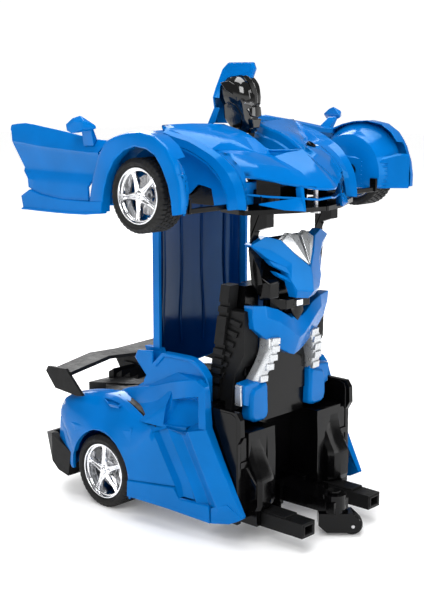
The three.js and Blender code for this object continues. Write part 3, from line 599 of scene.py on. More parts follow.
def arms():
    body = "arm_{}"
    pair(arm_shell_net(), "fender_door", BLUE, body, ["arm_shell"], wall=1.6, edge=0.35)
    pair(sill_net(), "door_sill", BLUE, body, edge=0.4)
    head, stalk = mirror_net()
    pair(head, "mirror_head", BLUE, body, edge=0.9, segments=3, angle=20)
    pair(stalk, "mirror_stalk", BLUE, body, edge=0.6, segments=3)
    pair(liner_net(), "wheel_housing", BLUE, body, wall=1.0, edge=0)
    pair(pad_net(), "housing_pad", BLUE, body, wall=1.0, edge=0.25)
    link = Net().block(-46, -43.2, 46.4, 87.5, 197.4, 200.4).block(-47, -42, 84.8, 86.6, 197.4, 206)
    pair(link, "arm_bar", BLACK, body, ["arm_link"], edge=0.4)
    boss = Net().lathe([(0.01, 82.4), (1.1, 82.4), (1.3, 82.0), (2.2, 82.0), (2.4, 81.4), (3.4, 81.2),
        (4.0, 81.8), (4.0, 87)], -62, 210.5, 28, closed=False)
    pair(boss, "housing_screw", BLACK, body, edge=0.15)


arms()


# ---------------------------------------------------------------- hood
NOSE_LINE = [(-15.8, 10, 209.0), (-21.2, 11, 213.7), (-26.4, 12, 217.4), (-36, 13, 221.6), (-47.1, 13, 226)]
LIP = [(-15.8, 10, 209.0), (-19.3, 16, 209.6), (-22, 20, 210.5), (-25.7, 27, 211.9), (-31, 33, 213.4),
    (-34.7, 39, 214.9), (-39.6, 44.2, 216)]
RIDGE = [(-47.1, 13, 226), (-50.2, 24, 227.8), (-55.6, 31, 228.6), (-58.3, 34.5, 228.8), (-60.9, 38, 229),
    (-62.8, 42, 229.2), (-64.6, 46, 229.6)]
VALLEY = [(-39.6, 44.2, 216), (-43, 44.2, 219.8), (-47, 44.1, 223.2), (-55, 44.4, 228), (-64.6, 46, 229.6)]
RECESS = [(-34.1, 0, 229.1), (-48, 15.2, 229), (-57.5, 15.3, 234.8), (-64.3, 15, 237.8), (-70, 14.4, 239.4),
    (-76, 14.6, 240.8), (-81.5, 16.4, 242.7)]
REAR_EDGE = [(-81.5, 16.4, 242.7), (-83.5, 28, 243.3), (-85.5, 40, 243.7), (-87.8, 50, 243.6),
    (-90, 59.6, 243.2)]
FENDER = [  # valley, inner ridge, crest, outer crease
    ((-86.4, 57.5, 241.2), (-87.5, 59.2, 242.2), (-86.5, 61, 240.6), (-85.5, 62.4, 236)),
    ((-75.4, 52, 235), (-77, 55, 237.6), (-77.6, 58.6, 238.6), (-77.4, 61.4, 232)),
    ((-69.3, 49.4, 231.6), (-70.2, 52.6, 235), (-69.7, 57.2, 236.9), (-70, 60.8, 230.4)),
    ((-64.6, 46, 229.6), (-61.4, 50.4, 231.4), (-60.2, 56.4, 233.2), (-63.4, 60.2, 227.8)),
    ((-55, 44.4, 228), (-51, 49.4, 226.2), (-49.3, 54.6, 227.8), (-55, 59.2, 223.4)),
    ((-47, 44.1, 223.2), (-43.6, 48.6, 220.8), (-41.8, 53, 221.6), (-48.2, 58.4, 217.6)),
    ((-43, 44.2, 219.8), (-39.8, 48.4, 216.4), (-37.8, 52.6, 216.8), (-44.8, 58, 212.8)),
    ((-39.6, 44.2, 216), (-37.2, 48.4, 211.6), (-34.9, 52.2, 211.8), (-42.4, 57.6, 208.2)),
    ((-37.2, 45.4, 205), (-35.2, 48.6, 204.6), (-32.8, 51.8, 204.6), (-41.2, 57.2, 202.6)),
    ((-36.4, 46, 197.6), (-34.6, 48.8, 197.6), (-32.1, 51.6, 197.6), (-40.8, 56.8, 197.4)),
]


def evened(line, count):
    """The same line with its points evenly spaced."""
    lengths = [0]
    for a, b in zip(line, line[1:]):
        lengths.append(lengths[-1] + math.dist(a, b))
    spaced = []
    for k in range(count):
        want = lengths[-1] * k / (count - 1)
        i = max(j for j in range(len(line) - 1) if lengths[j] <= want + 1e-9)
        spaced.append(lerp(line[i], line[i + 1], (want - lengths[i]) / (lengths[i + 1] - lengths[i])))
    return spaced


def coons(net, low, high, left, right, swell=0.0):
    """Fills four boundary lines with a smooth grid; low and high run alike, as do left and right."""
    across, along = len(low) - 1, len(left) - 1
    rows = []
    for j in range(along + 1):
        v = j / along
        row = []
        for i in range(across + 1):
            u = i / across
            point = []
            for k in range(3):
                ruled = low[i][k] * (1 - v) + high[i][k] * v + left[j][k] * (1 - u) + right[j][k] * u
                near, far = (line[0][k] * (1 - u) + line[-1][k] * u for line in (low, high))
                point.append(ruled - (near * (1 - v) + far * v))
            point[2] += swell * 16 * u * (1 - u) * v * (1 - v)
            row.append(tuple(point))
        rows.append(row)
    return net.strip(*rows)


def hood_net():
    net = Net()
    centre = [(-13.5, 0, 211.5), (-18.4, 0, 215.7), (-23.4, 0, 220), (-28.6, 0, 224.4), (-34.1, 0, 229.1)]
    coons(net, [centre[0], (-14.3, 5, 210.6), NOSE_LINE[0]], [centre[-1], (-41, 6.4, 228.4), NOSE_LINE[-1]],
        centre, NOSE_LINE, 0.3)
    net.patch((-11, 0, 208), (-11.8, 4, 207.9), (-14.3, 5, 210.6), centre[0])
    net.patch((-11.8, 4, 207.9), (-15.6, 10, 208.4), NOSE_LINE[0], (-14.3, 5, 210.6))
    net.patch(RECESS[0], RECESS[1], NOSE_LINE[-1], (-41, 6.4, 228.4))
    coons(net, LIP, RIDGE, NOSE_LINE, VALLEY, 1.2)
    top = (-61.5, 20, 236)
    net.patch(RIDGE[0], RIDGE[1], top, RECESS[2], RECESS[1])
    net.patch(top, RECESS[3], RECESS[2])
    inner = evened([RIDGE[1], top, RECESS[3], RECESS[4], RECESS[5], RECESS[6]], 12)
    outer = [RIDGE[1], RIDGE[2], RIDGE[4], RIDGE[6]] + [FENDER[k][0] for k in (2, 1, 0)] + [REAR_EDGE[-1]]
    rear = evened(REAR_EDGE[::-1], 9)
    coons(net, evened(outer, 12), inner, [RIDGE[1]] * 9, rear, 1.6)
    net.strip(REAR_EDGE, moved(REAR_EDGE, -0.8, 0, -0.8), moved(REAR_EDGE, 0.4, 0, -3.4))
    # fender: valley, inner ridge, crest, outer crease
    lines = [curve([station[k] for station in FENDER], 3) for k in range(4)]
    brow = [(x, y + 1.4, z + 0.5) for x, y, z in (lerp(a, b, 0.4) for a, b in zip(lines[2], lines[3]))]
    net.strip(lines[0], lines[1], lines[2], brow, lines[3])
    return net


def hood_side_net():
    """The inner side of the wheel well with its cut-out, and the well's ceiling under the fender."""
    upper = [(-97, 62.4, 239.6), (-91, 62.4, 238), (-85.5, 62.2, 235.6), (-77.4, 61.2, 231.6),
        (-70, 60.6, 230), (-63.4, 60, 227.4), (-55, 59, 223), (-48.2, 58.2, 217.2), (-44.8, 57.8, 212.4),
        (-42.4, 57.4, 207.8), (-41.2, 57, 202.4), (-40.8, 56.6, 197.4)]
    corner = [(x - 0.6, 46.6, z + 0.4) for x, y, z in upper]
    wall = [(x - 0.6, 45.6, z - 0.6) for x, y, z in upper]
    lower = [(-99, 45.6, 236), (-96, 45.6, 230), (-93, 45.6, 222), (-90, 45.6, 212), (-85.4, 45.6, 201.4),
        (-81, 45.6, 203.4), (-77, 45.6, 207), (-74, 45.6, 209.2), (-68, 45.6, 208.4), (-63.3, 45.6, 207.4),
        (-62, 45.6, 202), (-60.9, 45.6, 197.2)]
    return Net().strip(upper, corner, wall, lower)


def recess_net():
    """Walls of the windscreen recess, with a pressed ledge, down to its floor."""
    upper = evened(RECESS, 16)
    net = Net()
    step = [(x - 0.8, max(y - 0.9, 0), z - 1.2) for x, y, z in upper]
    wall = [(x - 1.4, max(y - 1.2, 0), z - 5.4) for x, y, z in upper]
    ledge = [(x - 2.2, max(y - 2.4, 0), z - 6.2) for x, y, z in upper]
    foot = [(x - 3.0, max(y - 2.8, 0), max(z - 15, 219)) for x, y, z in upper]
    return net.strip(upper, step, wall, ledge, foot)


def nose_parts():
    """Splitter, side blades and the wedge fins below the nose."""
    lip_low = [(-12.6, 0, 203), (-15.5, 7, 202), (-19.1, 18, 203.2), (-30, 34, 204.6), (-38.5, 44, 206),
        (-41, 46, 206.2)]
    net = Net()
    rows = []
    for back, drop in ((0, 0), (-0.3, -1.3), (-5, -1.5), (-5, -0.4)):
        rows.append([(x + back, y, z + drop) for x, y, z in lip_low])
    net.strip(*rows, rows[0])
    chin = [[(-11, 0, 208), (-11.8, 4, 207.9), (-15.6, 10, 208.4)] + LIP[1:]]
    chin.append(moved(chin[0], -0.6, -0.3, -1.3))
    chin.append([(x - 5, max(y - 1.5, 0), z - 1.5) for x, y, z in chin[0]])
    net.strip(*chin)
    # wedge fin: a thin blade under the nose with a slanting foot that runs out to the corner
    net.hull([(-19.4, 17, 208.8), (-20.6, 18.4, 209.6), (-24, 18.6, 209), (-23, 18.2, 196),
        (-17.1, 17.2, 195.2), (-18, 18.6, 196)])
    net.hull([(-17.1, 17.4, 195.2), (-20, 19, 203.4), (-22.6, 30, 196.6), (-33, 40, 199.4),
        (-33.4, 40.4, 200.4), (-26, 30, 201), (-24, 20, 196)])
    return net


def grille_net():
    """Dark honeycomb panel in the side intake."""
    net = Net()
    net.patch((-27.5, 28, 204.4), (-27.5, 28, 211.2), (-35, 40, 213.8), (-35, 40, 205.4))
    corners = [(math.cos(math.pi / 3 * k), math.sin(math.pi / 3 * k)) for k in range(6)]
    for k in range(7):
        for row in range(3):
            y = 28.8 + k * 1.6 + 0.8 * (row % 2)
            x = -27.5 - (y - 28) * 0.625
            z = 206 + row * 2.0
            rims = []
            for r in (0.95, 0.665):
                rims.append([(x - 0.53 * r * c + 0.3, y + 0.85 * r * c, z + r * s) for c, s in corners])
            net.strip(*rims, ring=True)
    return net


def hood():
    hood_net().doubled().piece("hood_skin", BLUE, "hood", ["hood_shell"], wall=1.4, edge=0.35, angle=14)
    hood_side_net().doubled().piece("hood_sides", BLUE, "hood", wall=1.2, edge=0.3)
    recess_net().doubled().piece("hood_recess", BLUE, "hood", wall=1.0, edge=0.4, angle=20)
    Net().block(-92, -41, 42.4, 44, 197.2, 215).doubled().piece("hood_well_backs", BLACK, "hood", edge=0.3)
    Net().block(-45, -39, 32.4, 44.8, 199.4, 212).doubled().piece("grille_backs", BLUE, "hood", edge=0.4)
    nose_parts().doubled().piece("nose_blades", BLUE, "hood", edge=0.3)
    grille_net().doubled().piece("intake_grilles", BLACK, "hood", edge=0)
    ring = Net().lathe([(2.1, 0.6), (2.5, 0.9), (3.0, 0.5), (3.0, -2.6), (2.1, -3)], 0, 0, 28)
    ring.lathe([(0.01, -1.6), (1.0, -1.6), (1.2, -1.3), (1.9, -1.2), (2.0, -2.2)], 0, 0, 20, closed=False)
    lean = Matrix.Rotation(math.radians(30), 3, "Y") @ Matrix.Rotation(math.radians(80), 3, "X")
    spot = Vector((-56.8, 36.6, 229.2))
    ring.verts = [tuple(lean @ Vector(v) + spot) for v in ring.verts]
    ring.piece("hood_top_screw", BLACK, "hood", edge=0.1)


hood()


# ---------------------------------------------------------------- rear half of the car
FENDER_PAIRS = [  # point on the wheel arch, point on the outline of the fender
    ((-166.4, 67.2, 31.6), (-168.6, 66.3, 30.8)), ((-164, 67.3, 37), (-177, 64.8, 43)),
    ((-160.5, 67.5, 41.6), (-183.9, 63, 52.5)), ((-155.5, 67.7, 46), (-184.3, 60, 60)),
    ((-150, 67.9, 49.2), (-180.5, 57.8, 64.8)), ((-144.5, 68.1, 51.1), (-167, 55.4, 68.4)),
    ((-138.4, 68.4, 51.9), (-150, 54.4, 71)), ((-133, 68.6, 51.2), (-137, 55.4, 71.6)),
    ((-127.6, 68.8, 48.6), (-124, 57.8, 69.4)), ((-122.6, 68.9, 44.4), (-111, 60.8, 65.8)),
    ((-118.8, 69, 40.2), (-100, 63.8, 62)), ((-116, 69, 36), (-93.5, 66.3, 59.9)),
    ((-114.3, 69, 31.4), (-86, 65.4, 46)), ((-113.4, 69, 28.4), (-80.5, 64.7, 36)),
    ((-112.9, 69, 26), (-77, 64.2, 29.2)),
]
SHOULDER_TOP = [(-142.9, 46, 72.8), (-134.9, 47.2, 75.8), (-120.9, 49.2, 79.6), (-106.9, 51.2, 83.2),
    (-92, 53.2, 88.4), (-77.8, 55.2, 92.4), (-67.4, 55.6, 94.4), (-60, 56.9, 91.8), (-57.8, 58, 88)]
INTAKE = [(-88.4, 60.2, 65.6), (-86.2, 57, 79.6), (-74, 58, 83.6), (-62.6, 58.8, 86.2), (-60.2, 61.2, 68),
    (-69.5, 62.6, 61.6)]
INTAKE_FLOOR = [(-86.4, 58, 68.4), (-84.8, 52.2, 78.4), (-75, 51.6, 80.6), (-66, 51.6, 82.4),
    (-65.4, 53.4, 69.6), (-70.6, 56, 66.4)]


def fender_net():
    arch, rim_line = ([ends[k] for ends in FENDER_PAIRS] for k in range(2))
    rows = [moved(arch, 0, -3.5, 0), moved(arch, 0, -0.5, 0), arch]
    for t, out, up in ((0.3, 1.0, 0.6), (0.6, 1.9, 1.5), (0.85, 1.5, 1.3)):
        row = []
        for k, (a, b) in enumerate(zip(arch, rim_line)):
            full = min(1.0, max(0.0, (11 - k) / 3)) if k > 8 else min(1.0, k / 3)
            x, y, z = lerp(a, b, t)
            row.append((x, y + out * full, z + up * full))
        rows.append(row)
    rows.append(rim_line)
    smooth_rows = [curve(row, 3) for row in rows]
    net = Net().strip(*smooth_rows)
    top = curve(rim_line[3:12], 3)
    return net.strip(top, moved(top, 0.6, -2.4, 1.0), moved(top, 1.6, -7.5, 1.6))


def vent_net():
    """Small sunk vent on top of the fender."""
    rim_line = [(-147, 59, 69.6), (-137.5, 59.5, 70.3), (-126.4, 60.6, 68.8), (-126.4, 62.6, 67.6),
        (-136.5, 63.4, 67.6)]
    centre = tuple(sum(p[k] for p in rim_line) / 5 for k in range(3))
    inner = [lerp(p, centre, 0.25) for p in rim_line]
    lower = moved(inner, 0, -0.6, -1.4)
    return Net().strip(moved(rim_line, 0, 0, 0.9), moved(inner, 0, 0, 0.9), lower, ring=True).patch(*lower)


def door_sill_net():
    """Stepped panels of the side: groove, raised ridge, slanting front face, lower band and toe."""
    lines = {
        "rear": ((-93.5, 66.3, 59.9), (-85, 65.3, 44.4), (-76.8, 64.2, 29.2), (-73.4, 63.9, 22.4)),
        "groove_rear": ((-91.6, 63, 60.6), (-83.2, 61.9, 45.2), (-75, 60.9, 30.4), (-72, 62, 23.4)),
        "groove_front": ((-85, 62, 63), (-76, 60.8, 47), (-67.2, 59.8, 31), (-64, 61, 23)),
        "step": ((-83, 65, 64.2), (-74, 63.9, 47.4), (-65, 62.7, 30.4), (-61, 62.4, 22.4)),
        "valley": ((-75, 61.6, 63.6), (-67, 60.2, 48), (-57.4, 59, 29.6), (-53.6, 59.4, 22.4)),
        "ridge_rear": ((-69.2, 63.4, 64.4), (-60.6, 62.4, 47.6), (-50.8, 61.2, 28), (-47.6, 61, 22)),
        "ridge": ((-66, 64.6, 65.4), (-57.6, 63.6, 48), (-47.4, 62.2, 27.4), (-44.2, 61.8, 22)),
        "front": ((-54, 61.4, 68.4), (-45.6, 60.2, 51.4), (-34.6, 58.9, 31.2), (-28, 57.8, 20)),
        "return": ((-54.6, 55.2, 68.4), (-46.2, 54.8, 51.4), (-35.2, 54.6, 31.2), (-28.6, 54.6, 20)),
    }
    net = Net().strip(*[[line[k] for line in lines.values()] for k in range(4)])
    top = [(-113, 69.9, 25.2), (-77.4, 65.3, 28), (-73.2, 64.7, 21.8), (-51.6, 62, 22.2)]
    low = [(-113.4, 69.9, 15.2), (-81.5, 66, 14.1), (-72, 64.8, 13.4), (-50.6, 62.2, 11.9)]
    net.strip(moved(top, 0, -1.6, 0.7), top, low, moved(low, 0, -4, -0.2))
    net.patch((-51.6, 62, 22.2), (-50.6, 62.2, 11.9), (-50.4, 60, 11.9), (-51.4, 60, 22.4))
    return net.hull([(-49.6, 61.9, 12), (-37, 60, 14.4), (-30.6, 58.9, 17.6), (-28, 58, 19.4),
        (-38.4, 60.9, 26.2), (-43.6, 61.6, 22.2), (-49.8, 61.8, 21.6), (-49.6, 58.6, 12), (-37, 56.6, 14.4),
        (-28.2, 55, 19.4), (-38.4, 57, 26.2), (-49.8, 58.6, 22)])


def shoulder_net():
    net = Net()
    low = [(-142.9, 46.4, 72.2), (-131, 50.4, 71.8), (-117, 54, 70), (-103, 58, 67.4), INTAKE[0]]
    top = SHOULDER_TOP[:4] + [INTAKE[1]]
    middle = [lerp(a, b, 0.5) for a, b in zip(top, low)]
    middle = [(x, y + 0.7 * (0 < k < 4), z) for k, (x, y, z) in enumerate(middle)]
    net.strip(top, middle, low)
    net.patch(SHOULDER_TOP[3], SHOULDER_TOP[4], INTAKE[1])
    net.strip([SHOULDER_TOP[k] for k in (4, 5, 6, 7)],
        [INTAKE[1], INTAKE[2], lerp(INTAKE[2], INTAKE[3], 0.6), INTAKE[3]])
    net.patch(SHOULDER_TOP[7], SHOULDER_TOP[8], INTAKE[3])
    net.patch(SHOULDER_TOP[8], (-54, 61.6, 68.4), INTAKE[4], INTAKE[3])
    net.patch(INTAKE[4], (-54, 61.6, 68.4), (-66, 64.7, 65.4), INTAKE[5])
    net.patch(INTAKE[5], (-66, 64.7, 65.4), (-68.6, 63.7, 64.4), (-75, 63.5, 63.6), (-83, 65.1, 64.2),
        INTAKE[0])
    net.patch(INTAKE[0], (-83, 65.1, 64.2), (-91.6, 64.6, 60.6), (-93.5, 66.4, 59.9), (-100, 63.8, 62))
    net.strip(INTAKE, INTAKE_FLOOR, ring=True).patch(*INTAKE_FLOOR)
    net.patch((-84.8, 52.3, 78.5), (-75, 51.7, 80.7), (-77, 53.4, 72), (-86.2, 57.9, 68.6))
    back = moved(SHOULDER_TOP[:7], 0, -5, 0.4)
    net.strip(SHOULDER_TOP[:7], moved(SHOULDER_TOP[:7], 0, -1.2, 0.7), back)
    net.strip(SHOULDER_TOP[6:], moved(SHOULDER_TOP[6:], -0.4, -4.8, 0))
    net.patch(SHOULDER_TOP[8], (-54, 61.6, 68.4), (-54.6, 55.2, 68.4), (-58.2, 53.2, 88))
    return net


def cheek_net():
    """Raised rim and hub on the outside of the round cheek."""
    net = Net()
    turns = [math.radians(a) for a in range(-10, 96, 5)]
    path = [(-84 + 20 * math.cos(a), 84.6 + 20 * math.sin(a)) for a in turns]
    path += [(-94, 104.5), (-104, 104.2), (-112, 96)]
    hub = (-88, 84)
    rows = []
    for reach, y in ((1.0, 46.9), (1.0, 47.6), (0.985, 48.2), (0.9, 48.2), (0.87, 47.1)):
        rows.append([(hub[0] + (x - hub[0]) * reach, y, hub[1] + (z - hub[1]) * reach) for x, z in path])
    net.strip(*rows)
    return net.lathe([(0.01, 48), (2.2, 48), (2.4, 48.6), (4.6, 48.6), (5, 48.2), (5, 46.8)], -94, 85, 36,
        closed=False)


def rear_half():
    pair(fender_net(), "rear_fender", BLUE, "rear_base", edge=0.3, angle=24)
    pair(vent_net(), "fender_vent", BLUE, "rear_base", edge=0.25)
    pair(door_sill_net(), "side_panels", BLUE, "rear_base", edge=0.35, angle=12, segments=3)
    pair(shoulder_net(), "shoulder", BLUE, "rear_base", edge=0.6, angle=20, segments=3)
    pair(cheek_net(), "cheek_rim", BLUE, "rear_base", edge=0.25)
    backing = [(-113, 12), (-49, 12.4), (-62, 44), (-66, 60), (-113, 62)]
    pair(Net().slab(backing, 55, 56.4), "panel_back", BLUE, "rear_base", edge=0.3)
    quarter = [(-113.4, 103.6), (-127, 102.1), (-129.5, 97), (-118.3, 86), (-113.4, 86)]
    pair(Net().slab(quarter, 45, 46.9), "quarter", BLUE, "rear_base", edge=0.6)
    band = Net()
    upper = [(-146, 45, 73.4), (-142.9, 46.2, 73), (-126.8, 51, 71.8), (-109.5, 55.6, 68.9),
        (-94.2, 61.6, 64.4)]
    lower = [(-150, 50, 72), (-137, 53.6, 72.6), (-124, 56.2, 70.4), (-109, 59.6, 66.8),
        (-93.6, 63.6, 62.6)]
    band.strip(moved(upper, 0, -1, -2), upper, lower, moved(lower, 0, 0.5, -2))
    pair(band, "fender_band", CHARCOAL, "rear_base", edge=0.3)


rear_half()


# ---------------------------------------------------------------- torso and legs
def chest_net():
    """Left half of the butterfly plate: a wing with a crease, a tapering body and the emblem's opening."""
    tip, outer, inner = (-42.6, 35.9, 175.2), (-39.6, 25.4, 179.7), (-36.4, 15.6, 176.8)
    mid, notch = (-31.8, 9, 168.8), (-26.7, 0, 160.4)
    fold = [(-37.2, 24, 171.6), (-30.6, 13, 163.2), (-25.4, 0, 155.8)]
    under, waist, side = (-38.6, 24.6, 166.4), (-33.2, 15.6, 161), (-30, 14.2, 153.7)
    foot, low = (-30.2, 8.6, 142.4), (-28.2, 0, 141.4)
    crease = [(-28, 10.4, 147.2), (-24.4, 0, 145.8)]
    net = Net().patch(tip, outer, inner, mid, fold[1], fold[0]).patch(mid, notch, fold[2], fold[1])
    net.patch(tip, fold[0], under).patch(fold[0], fold[1], waist, under)
    net.patch(fold[1], fold[2], crease[1], crease[0])
    net.patch(fold[1], crease[0], side).patch(fold[1], side, waist)
    net.patch(crease[0], crease[1], low, foot).patch(crease[0], foot, side)
    rim = [inner, outer, tip, under, waist, side, foot, low]
    net.strip(rim, [(x - 6, y * 0.97, z) for x, y, z in rim])
    net.strip([inner, mid, notch], [(x - 3, y * 0.94, z + 0.6) for x, y, z in (inner, mid, notch)])
    return net.doubled()


def chest_rib_net(low):
    """One of two ribs that step down the flank of the chest body under the wing."""
    points = [(-38.8, 24.2, 165.8), (-32.2, 14, 160.6), (-30.4, 14, 157), (-36.6, 22.4, 162.4)]
    if low:
        points = [(-37, 20.4, 158.8), (-31.4, 13, 154.4), (-30, 12.6, 151.6), (-35.4, 18.8, 156)]
    return Net().hull(points + [(x - 5, y * 0.96, z) for x, y, z in points])


def emblem_net():
    rim = [(-36.8, 15, 176.2), (-37.6, 8, 180.4), (-35.6, 1.4, 178.8), (-31.2, 1.0, 170),
        (-27.6, 0.3, 161.6), (-32.4, 8.5, 168.9)]
    net, crown = Net(), (-32.6, 6, 173.4)
    for a, b in zip(rim, rim[1:] + rim[:1]):
        net.patch(a, b, crown)
    return net.strip(rim, moved(rim, -3, 0, 0), ring=True).doubled()


def hip_net():
    top = [(-40.4, 35.4, 139.8), (-39.4, 26, 138.8), (-38, 16, 135.6), (-36.6, 9, 131.6), (-36.8, 4.5, 129),
        (-37, 0, 130.8)]
    middle = [(-41.2, 35, 133), (-38.4, 26, 131.4), (-35.4, 17.6, 128.4), (-34, 10, 123.6), (-34, 4.5, 119),
        (-34.2, 0, 117)]
    low = [(-41.8, 33.2, 125.4), (-40.4, 25.6, 119.6), (-39.4, 17, 113.8), (-38.8, 9.4, 109.4),
        (-38.6, 4.2, 106.8), (-38.6, 0, 105.4)]
    back = [(x - 7, y * 0.97, z) for x, y, z in low]
    net = Net().strip(moved(top, -8, 0, -0.5), top, middle, low, back)
    net.patch(top[0], middle[0], low[0], (-48, 33, 125.4), (-48, 35.2, 139.2))
    return net.doubled()


def thigh_nets():
    """A bowed limb with five ribs down its front."""
    spine = curve([(-37.6, 18.4, 119), (-36.6, 20.4, 112), (-38.4, 23, 103), (-43, 25.8, 92)], 5)
    rows = []
    for x, y, z in spine:
        rows.append([(x, y - 3.2, z), (x - 0.4, y + 3.4, z), (x - 2.4, y + 5, z), (x - 9, y + 4.8, z),
            (x - 9, y - 4.8, z), (x - 2, y - 4.8, z)])
    limb = Net().strip(*rows, ring=True).patch(*rows[0]).patch(*reversed(rows[-1]))
    ribs = Net()
    for k in (1, 4, 7, 10, 13):
        x, y, z = spine[k]
        front = [(x + 1.0, y - 3.4, z + 0.5), (x + 0.7, y + 3.2, z + 1.0), (x + 0.6, y - 3.6, z - 3.4),
            (x + 0.4, y + 3.0, z - 3.2)]
        ribs.hull(front + [(p - 3, q, r) for p, q, r in front])
    return limb, ribs


def shin_net():
    upper = [(-42.9, 21, 94), (-42.8, 40, 92.6), (-43.6, 40, 80.6), (-43.4, 35.6, 79), (-43.6, 20.2, 79)]
    net = Net().hull(upper + [(-50, y, z + 0.8) for x, y, z in upper])
    lower = [(20.2, 91), (22, 93), (33.4, 89.6), (35.4, 86), (35.8, 74), (34.6, 70.4), (31.6, 68.6),
        (23.4, 68.4), (20.6, 69.6), (19.4, 72.6)]
    outline = [(-43.2, y, z) for y, z in lower] + [(-49, y, z) for y, z in lower]
    centre = (27.5, 79)
    crown = [(-41.2, centre[0] + (y - centre[0]) * 0.82, centre[1] + (z - centre[1]) * 0.86)
        for y, z in lower]
    return net.hull(outline + crown)


def tub_nets():
    """The front of a leg tub: a wall that swells forward into a rounded bumper, and its inner lip."""
    profile = [(-40, 66.2), (-36.2, 66.2), (-35.6, 58), (-34, 51.5), (-30.6, 44.5), (-27.8, 40), (-27, 36),
        (-27, 23), (-28.6, 19.6), (-32, 18.4), (-40, 18.4)]
    rows = []
    for y, inset in ((27, 5.0), (29.5, 1.8), (34, 0.2), (41.5, 0.2), (43.9, 2.2)):
        rows.append([(max(x - inset, -40), y, z) for x, z in profile])
    wall = Net().strip(*rows).patch(*rows[0]).patch(*reversed(rows[-1]))
    inner = Net().strip(*[[(x, y, z) for y in (20.4, 21.4, 24, 26.8, 27.6)]
        for x, z in ((-36.2, 66), (-35.4, 50), (-35.4, 20))])
    return wall, inner


def legs():
    limb, ribs = thigh_nets()
    pair(limb, "thigh_limb", SILVER, "leg_frame", ("thigh",), edge=0.8, angle=40)
    pair(ribs, "thigh_ribs", SILVER, "leg_frame", edge=0.35)
    pair(shin_net(), "shin_guard", BLUE, "leg_frame", ("shin",), edge=0.6)
    pair(Net().block(-49.4, -44.6, 40.1, 41.6, 80, 92.6), "shin_plate", SILVER, "leg_frame", edge=0.4)
    plate = [(-60, 79.4), (-41, 79.4), (-37.6, 78), (-36.4, 74.6), (-36.2, 12), (-47, 12), (-58, 40)]
    pair(Net().slab(plate, 50, 53.7), "tub_plate", BLACK, "leg_frame", edge=0.7, segments=3)
    pair(Net().block(-50, -37, 43.6, 50.4, 14, 64), "tub_post", BLACK, "leg_frame", edge=0.8)
    wall, inner = tub_nets()
    pair(wall, "tub_bumper", BLACK, "leg_frame", edge=1.4, segments=4, angle=24)
    pair(inner, "tub_lip", BLACK, "leg_frame", edge=0.6)
    pair(Net().hull([(-46, 15.5, 141), (-46, 24.5, 141), (-46, 15.5, 156), (-46, 25.5, 156),
        (-37, 16.5, 142.6), (-38.4, 23.4, 142.6), (-36.6, 16.5, 153), (-38.6, 23.6, 151.6)]), "belly_block",
        BLACK, "leg_frame", edge=0.8)
    pair(Net().hull([(-48, 30.8, 169), (-44.4, 31.6, 168), (-41.4, 29, 160), (-41, 26.4, 151),
        (-44, 27.4, 150), (-48, 29, 152)]), "flank_rib", BLACK, "leg_frame", edge=0.7)
    panel = Net().slab([(-45.5, 136), (-57, 136), (-72, 100), (-74, 74), (-56, 74), (-52, 98), (-46, 110)],
        25, 38)
    for k in range(8):
        x, z = -48.5 - 2.6 * k, 128 - 6.4 * k
        panel.hull([(x + p, y, z + r) for y in (26, 39.4)
            for p, r in ((1.5, 1.6), (0.2, -1.8), (-7, 3.2), (-7.4, 0.4))])
    pair(panel, "strut_panel", CHARCOAL, "leg_frame", edge=0.5)
    socket = Net().block(-14, 0.4, 27.2, 29, 10.2, 17).block(-14, 0.4, 35.6, 37.4, 10.2, 17)
    socket.block(-14, 0.4, 27.2, 37.4, 15.6, 17.2).block(-14, 0.4, 27.2, 37.4, 10, 11.2)
    socket.block(-45, -13, 26.6, 37.8, 15.5, 19)
    pair(socket, "foot_socket", CHARCOAL, "foot_{}_body", edge=0.5)


CHEST_FRONT, CHEST_BOTTOM, CHEST_TOP = -44.4, 120, 184    # where the frame's front is set back


def pressed_torso():
    """The torso frame with its front set back so that the wings of the chest plate stand clear of it."""
    mesh = nodes["torso_frame"].data.copy()
    mesh.transform(nodes["torso_frame"].matrix_world)
    front = at(CHEST_FRONT, 0, 0).x
    for vert in mesh.vertices:
        if vert.co.x > front and CHEST_BOTTOM * MM < vert.co.z < CHEST_TOP * MM:
            vert.co.x = front
    torso = dress(linked("torso_core", mesh), BLACK, "leg_frame")
    smooth(torso, 30)
    soften(torso, 0.6)
    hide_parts("torso_frame")


def torso():
    pressed_torso()
    chest_net().piece("chest_wings", BLUE, "leg_frame", ("chest_plate",), edge=0.35, angle=14, segments=3)
    emblem_net().piece("emblem_shield", SILVER, "leg_frame", ("chest_emblem",), edge=0.3, angle=20)
    hip_net().piece("hip_wings", BLUE, "leg_frame", ("hip_plate",), edge=0.4, angle=12, segments=3)
    for low, end in ((False, "top"), (True, "low")):
        chest_rib_net(low).doubled().piece(f"chest_ribs_{end}", BLUE, "leg_frame", edge=0.3)
    back = [(-44, y, z) for y in (-17, 17) for z in (134, 142)]
    belt = Net().hull(back + [(-36, y, z) for y in (-11, 11) for z in (135, 141)])
    belt.hull([(-38, -6.5, 137), (-38, 6.5, 137), (-35, 0, 136.4), (-36, -5.4, 132), (-36, 5.4, 132),
        (-36, 0, 126.6), (-40, 0, 127)])
    belt.piece("belt", BLACK, "leg_frame", edge=0.5)
    Net().block(-37, -34.4, -2.8, 2.8, 136.2, 140).piece("belt_buckle", "chrome", "leg_frame", edge=0.4)


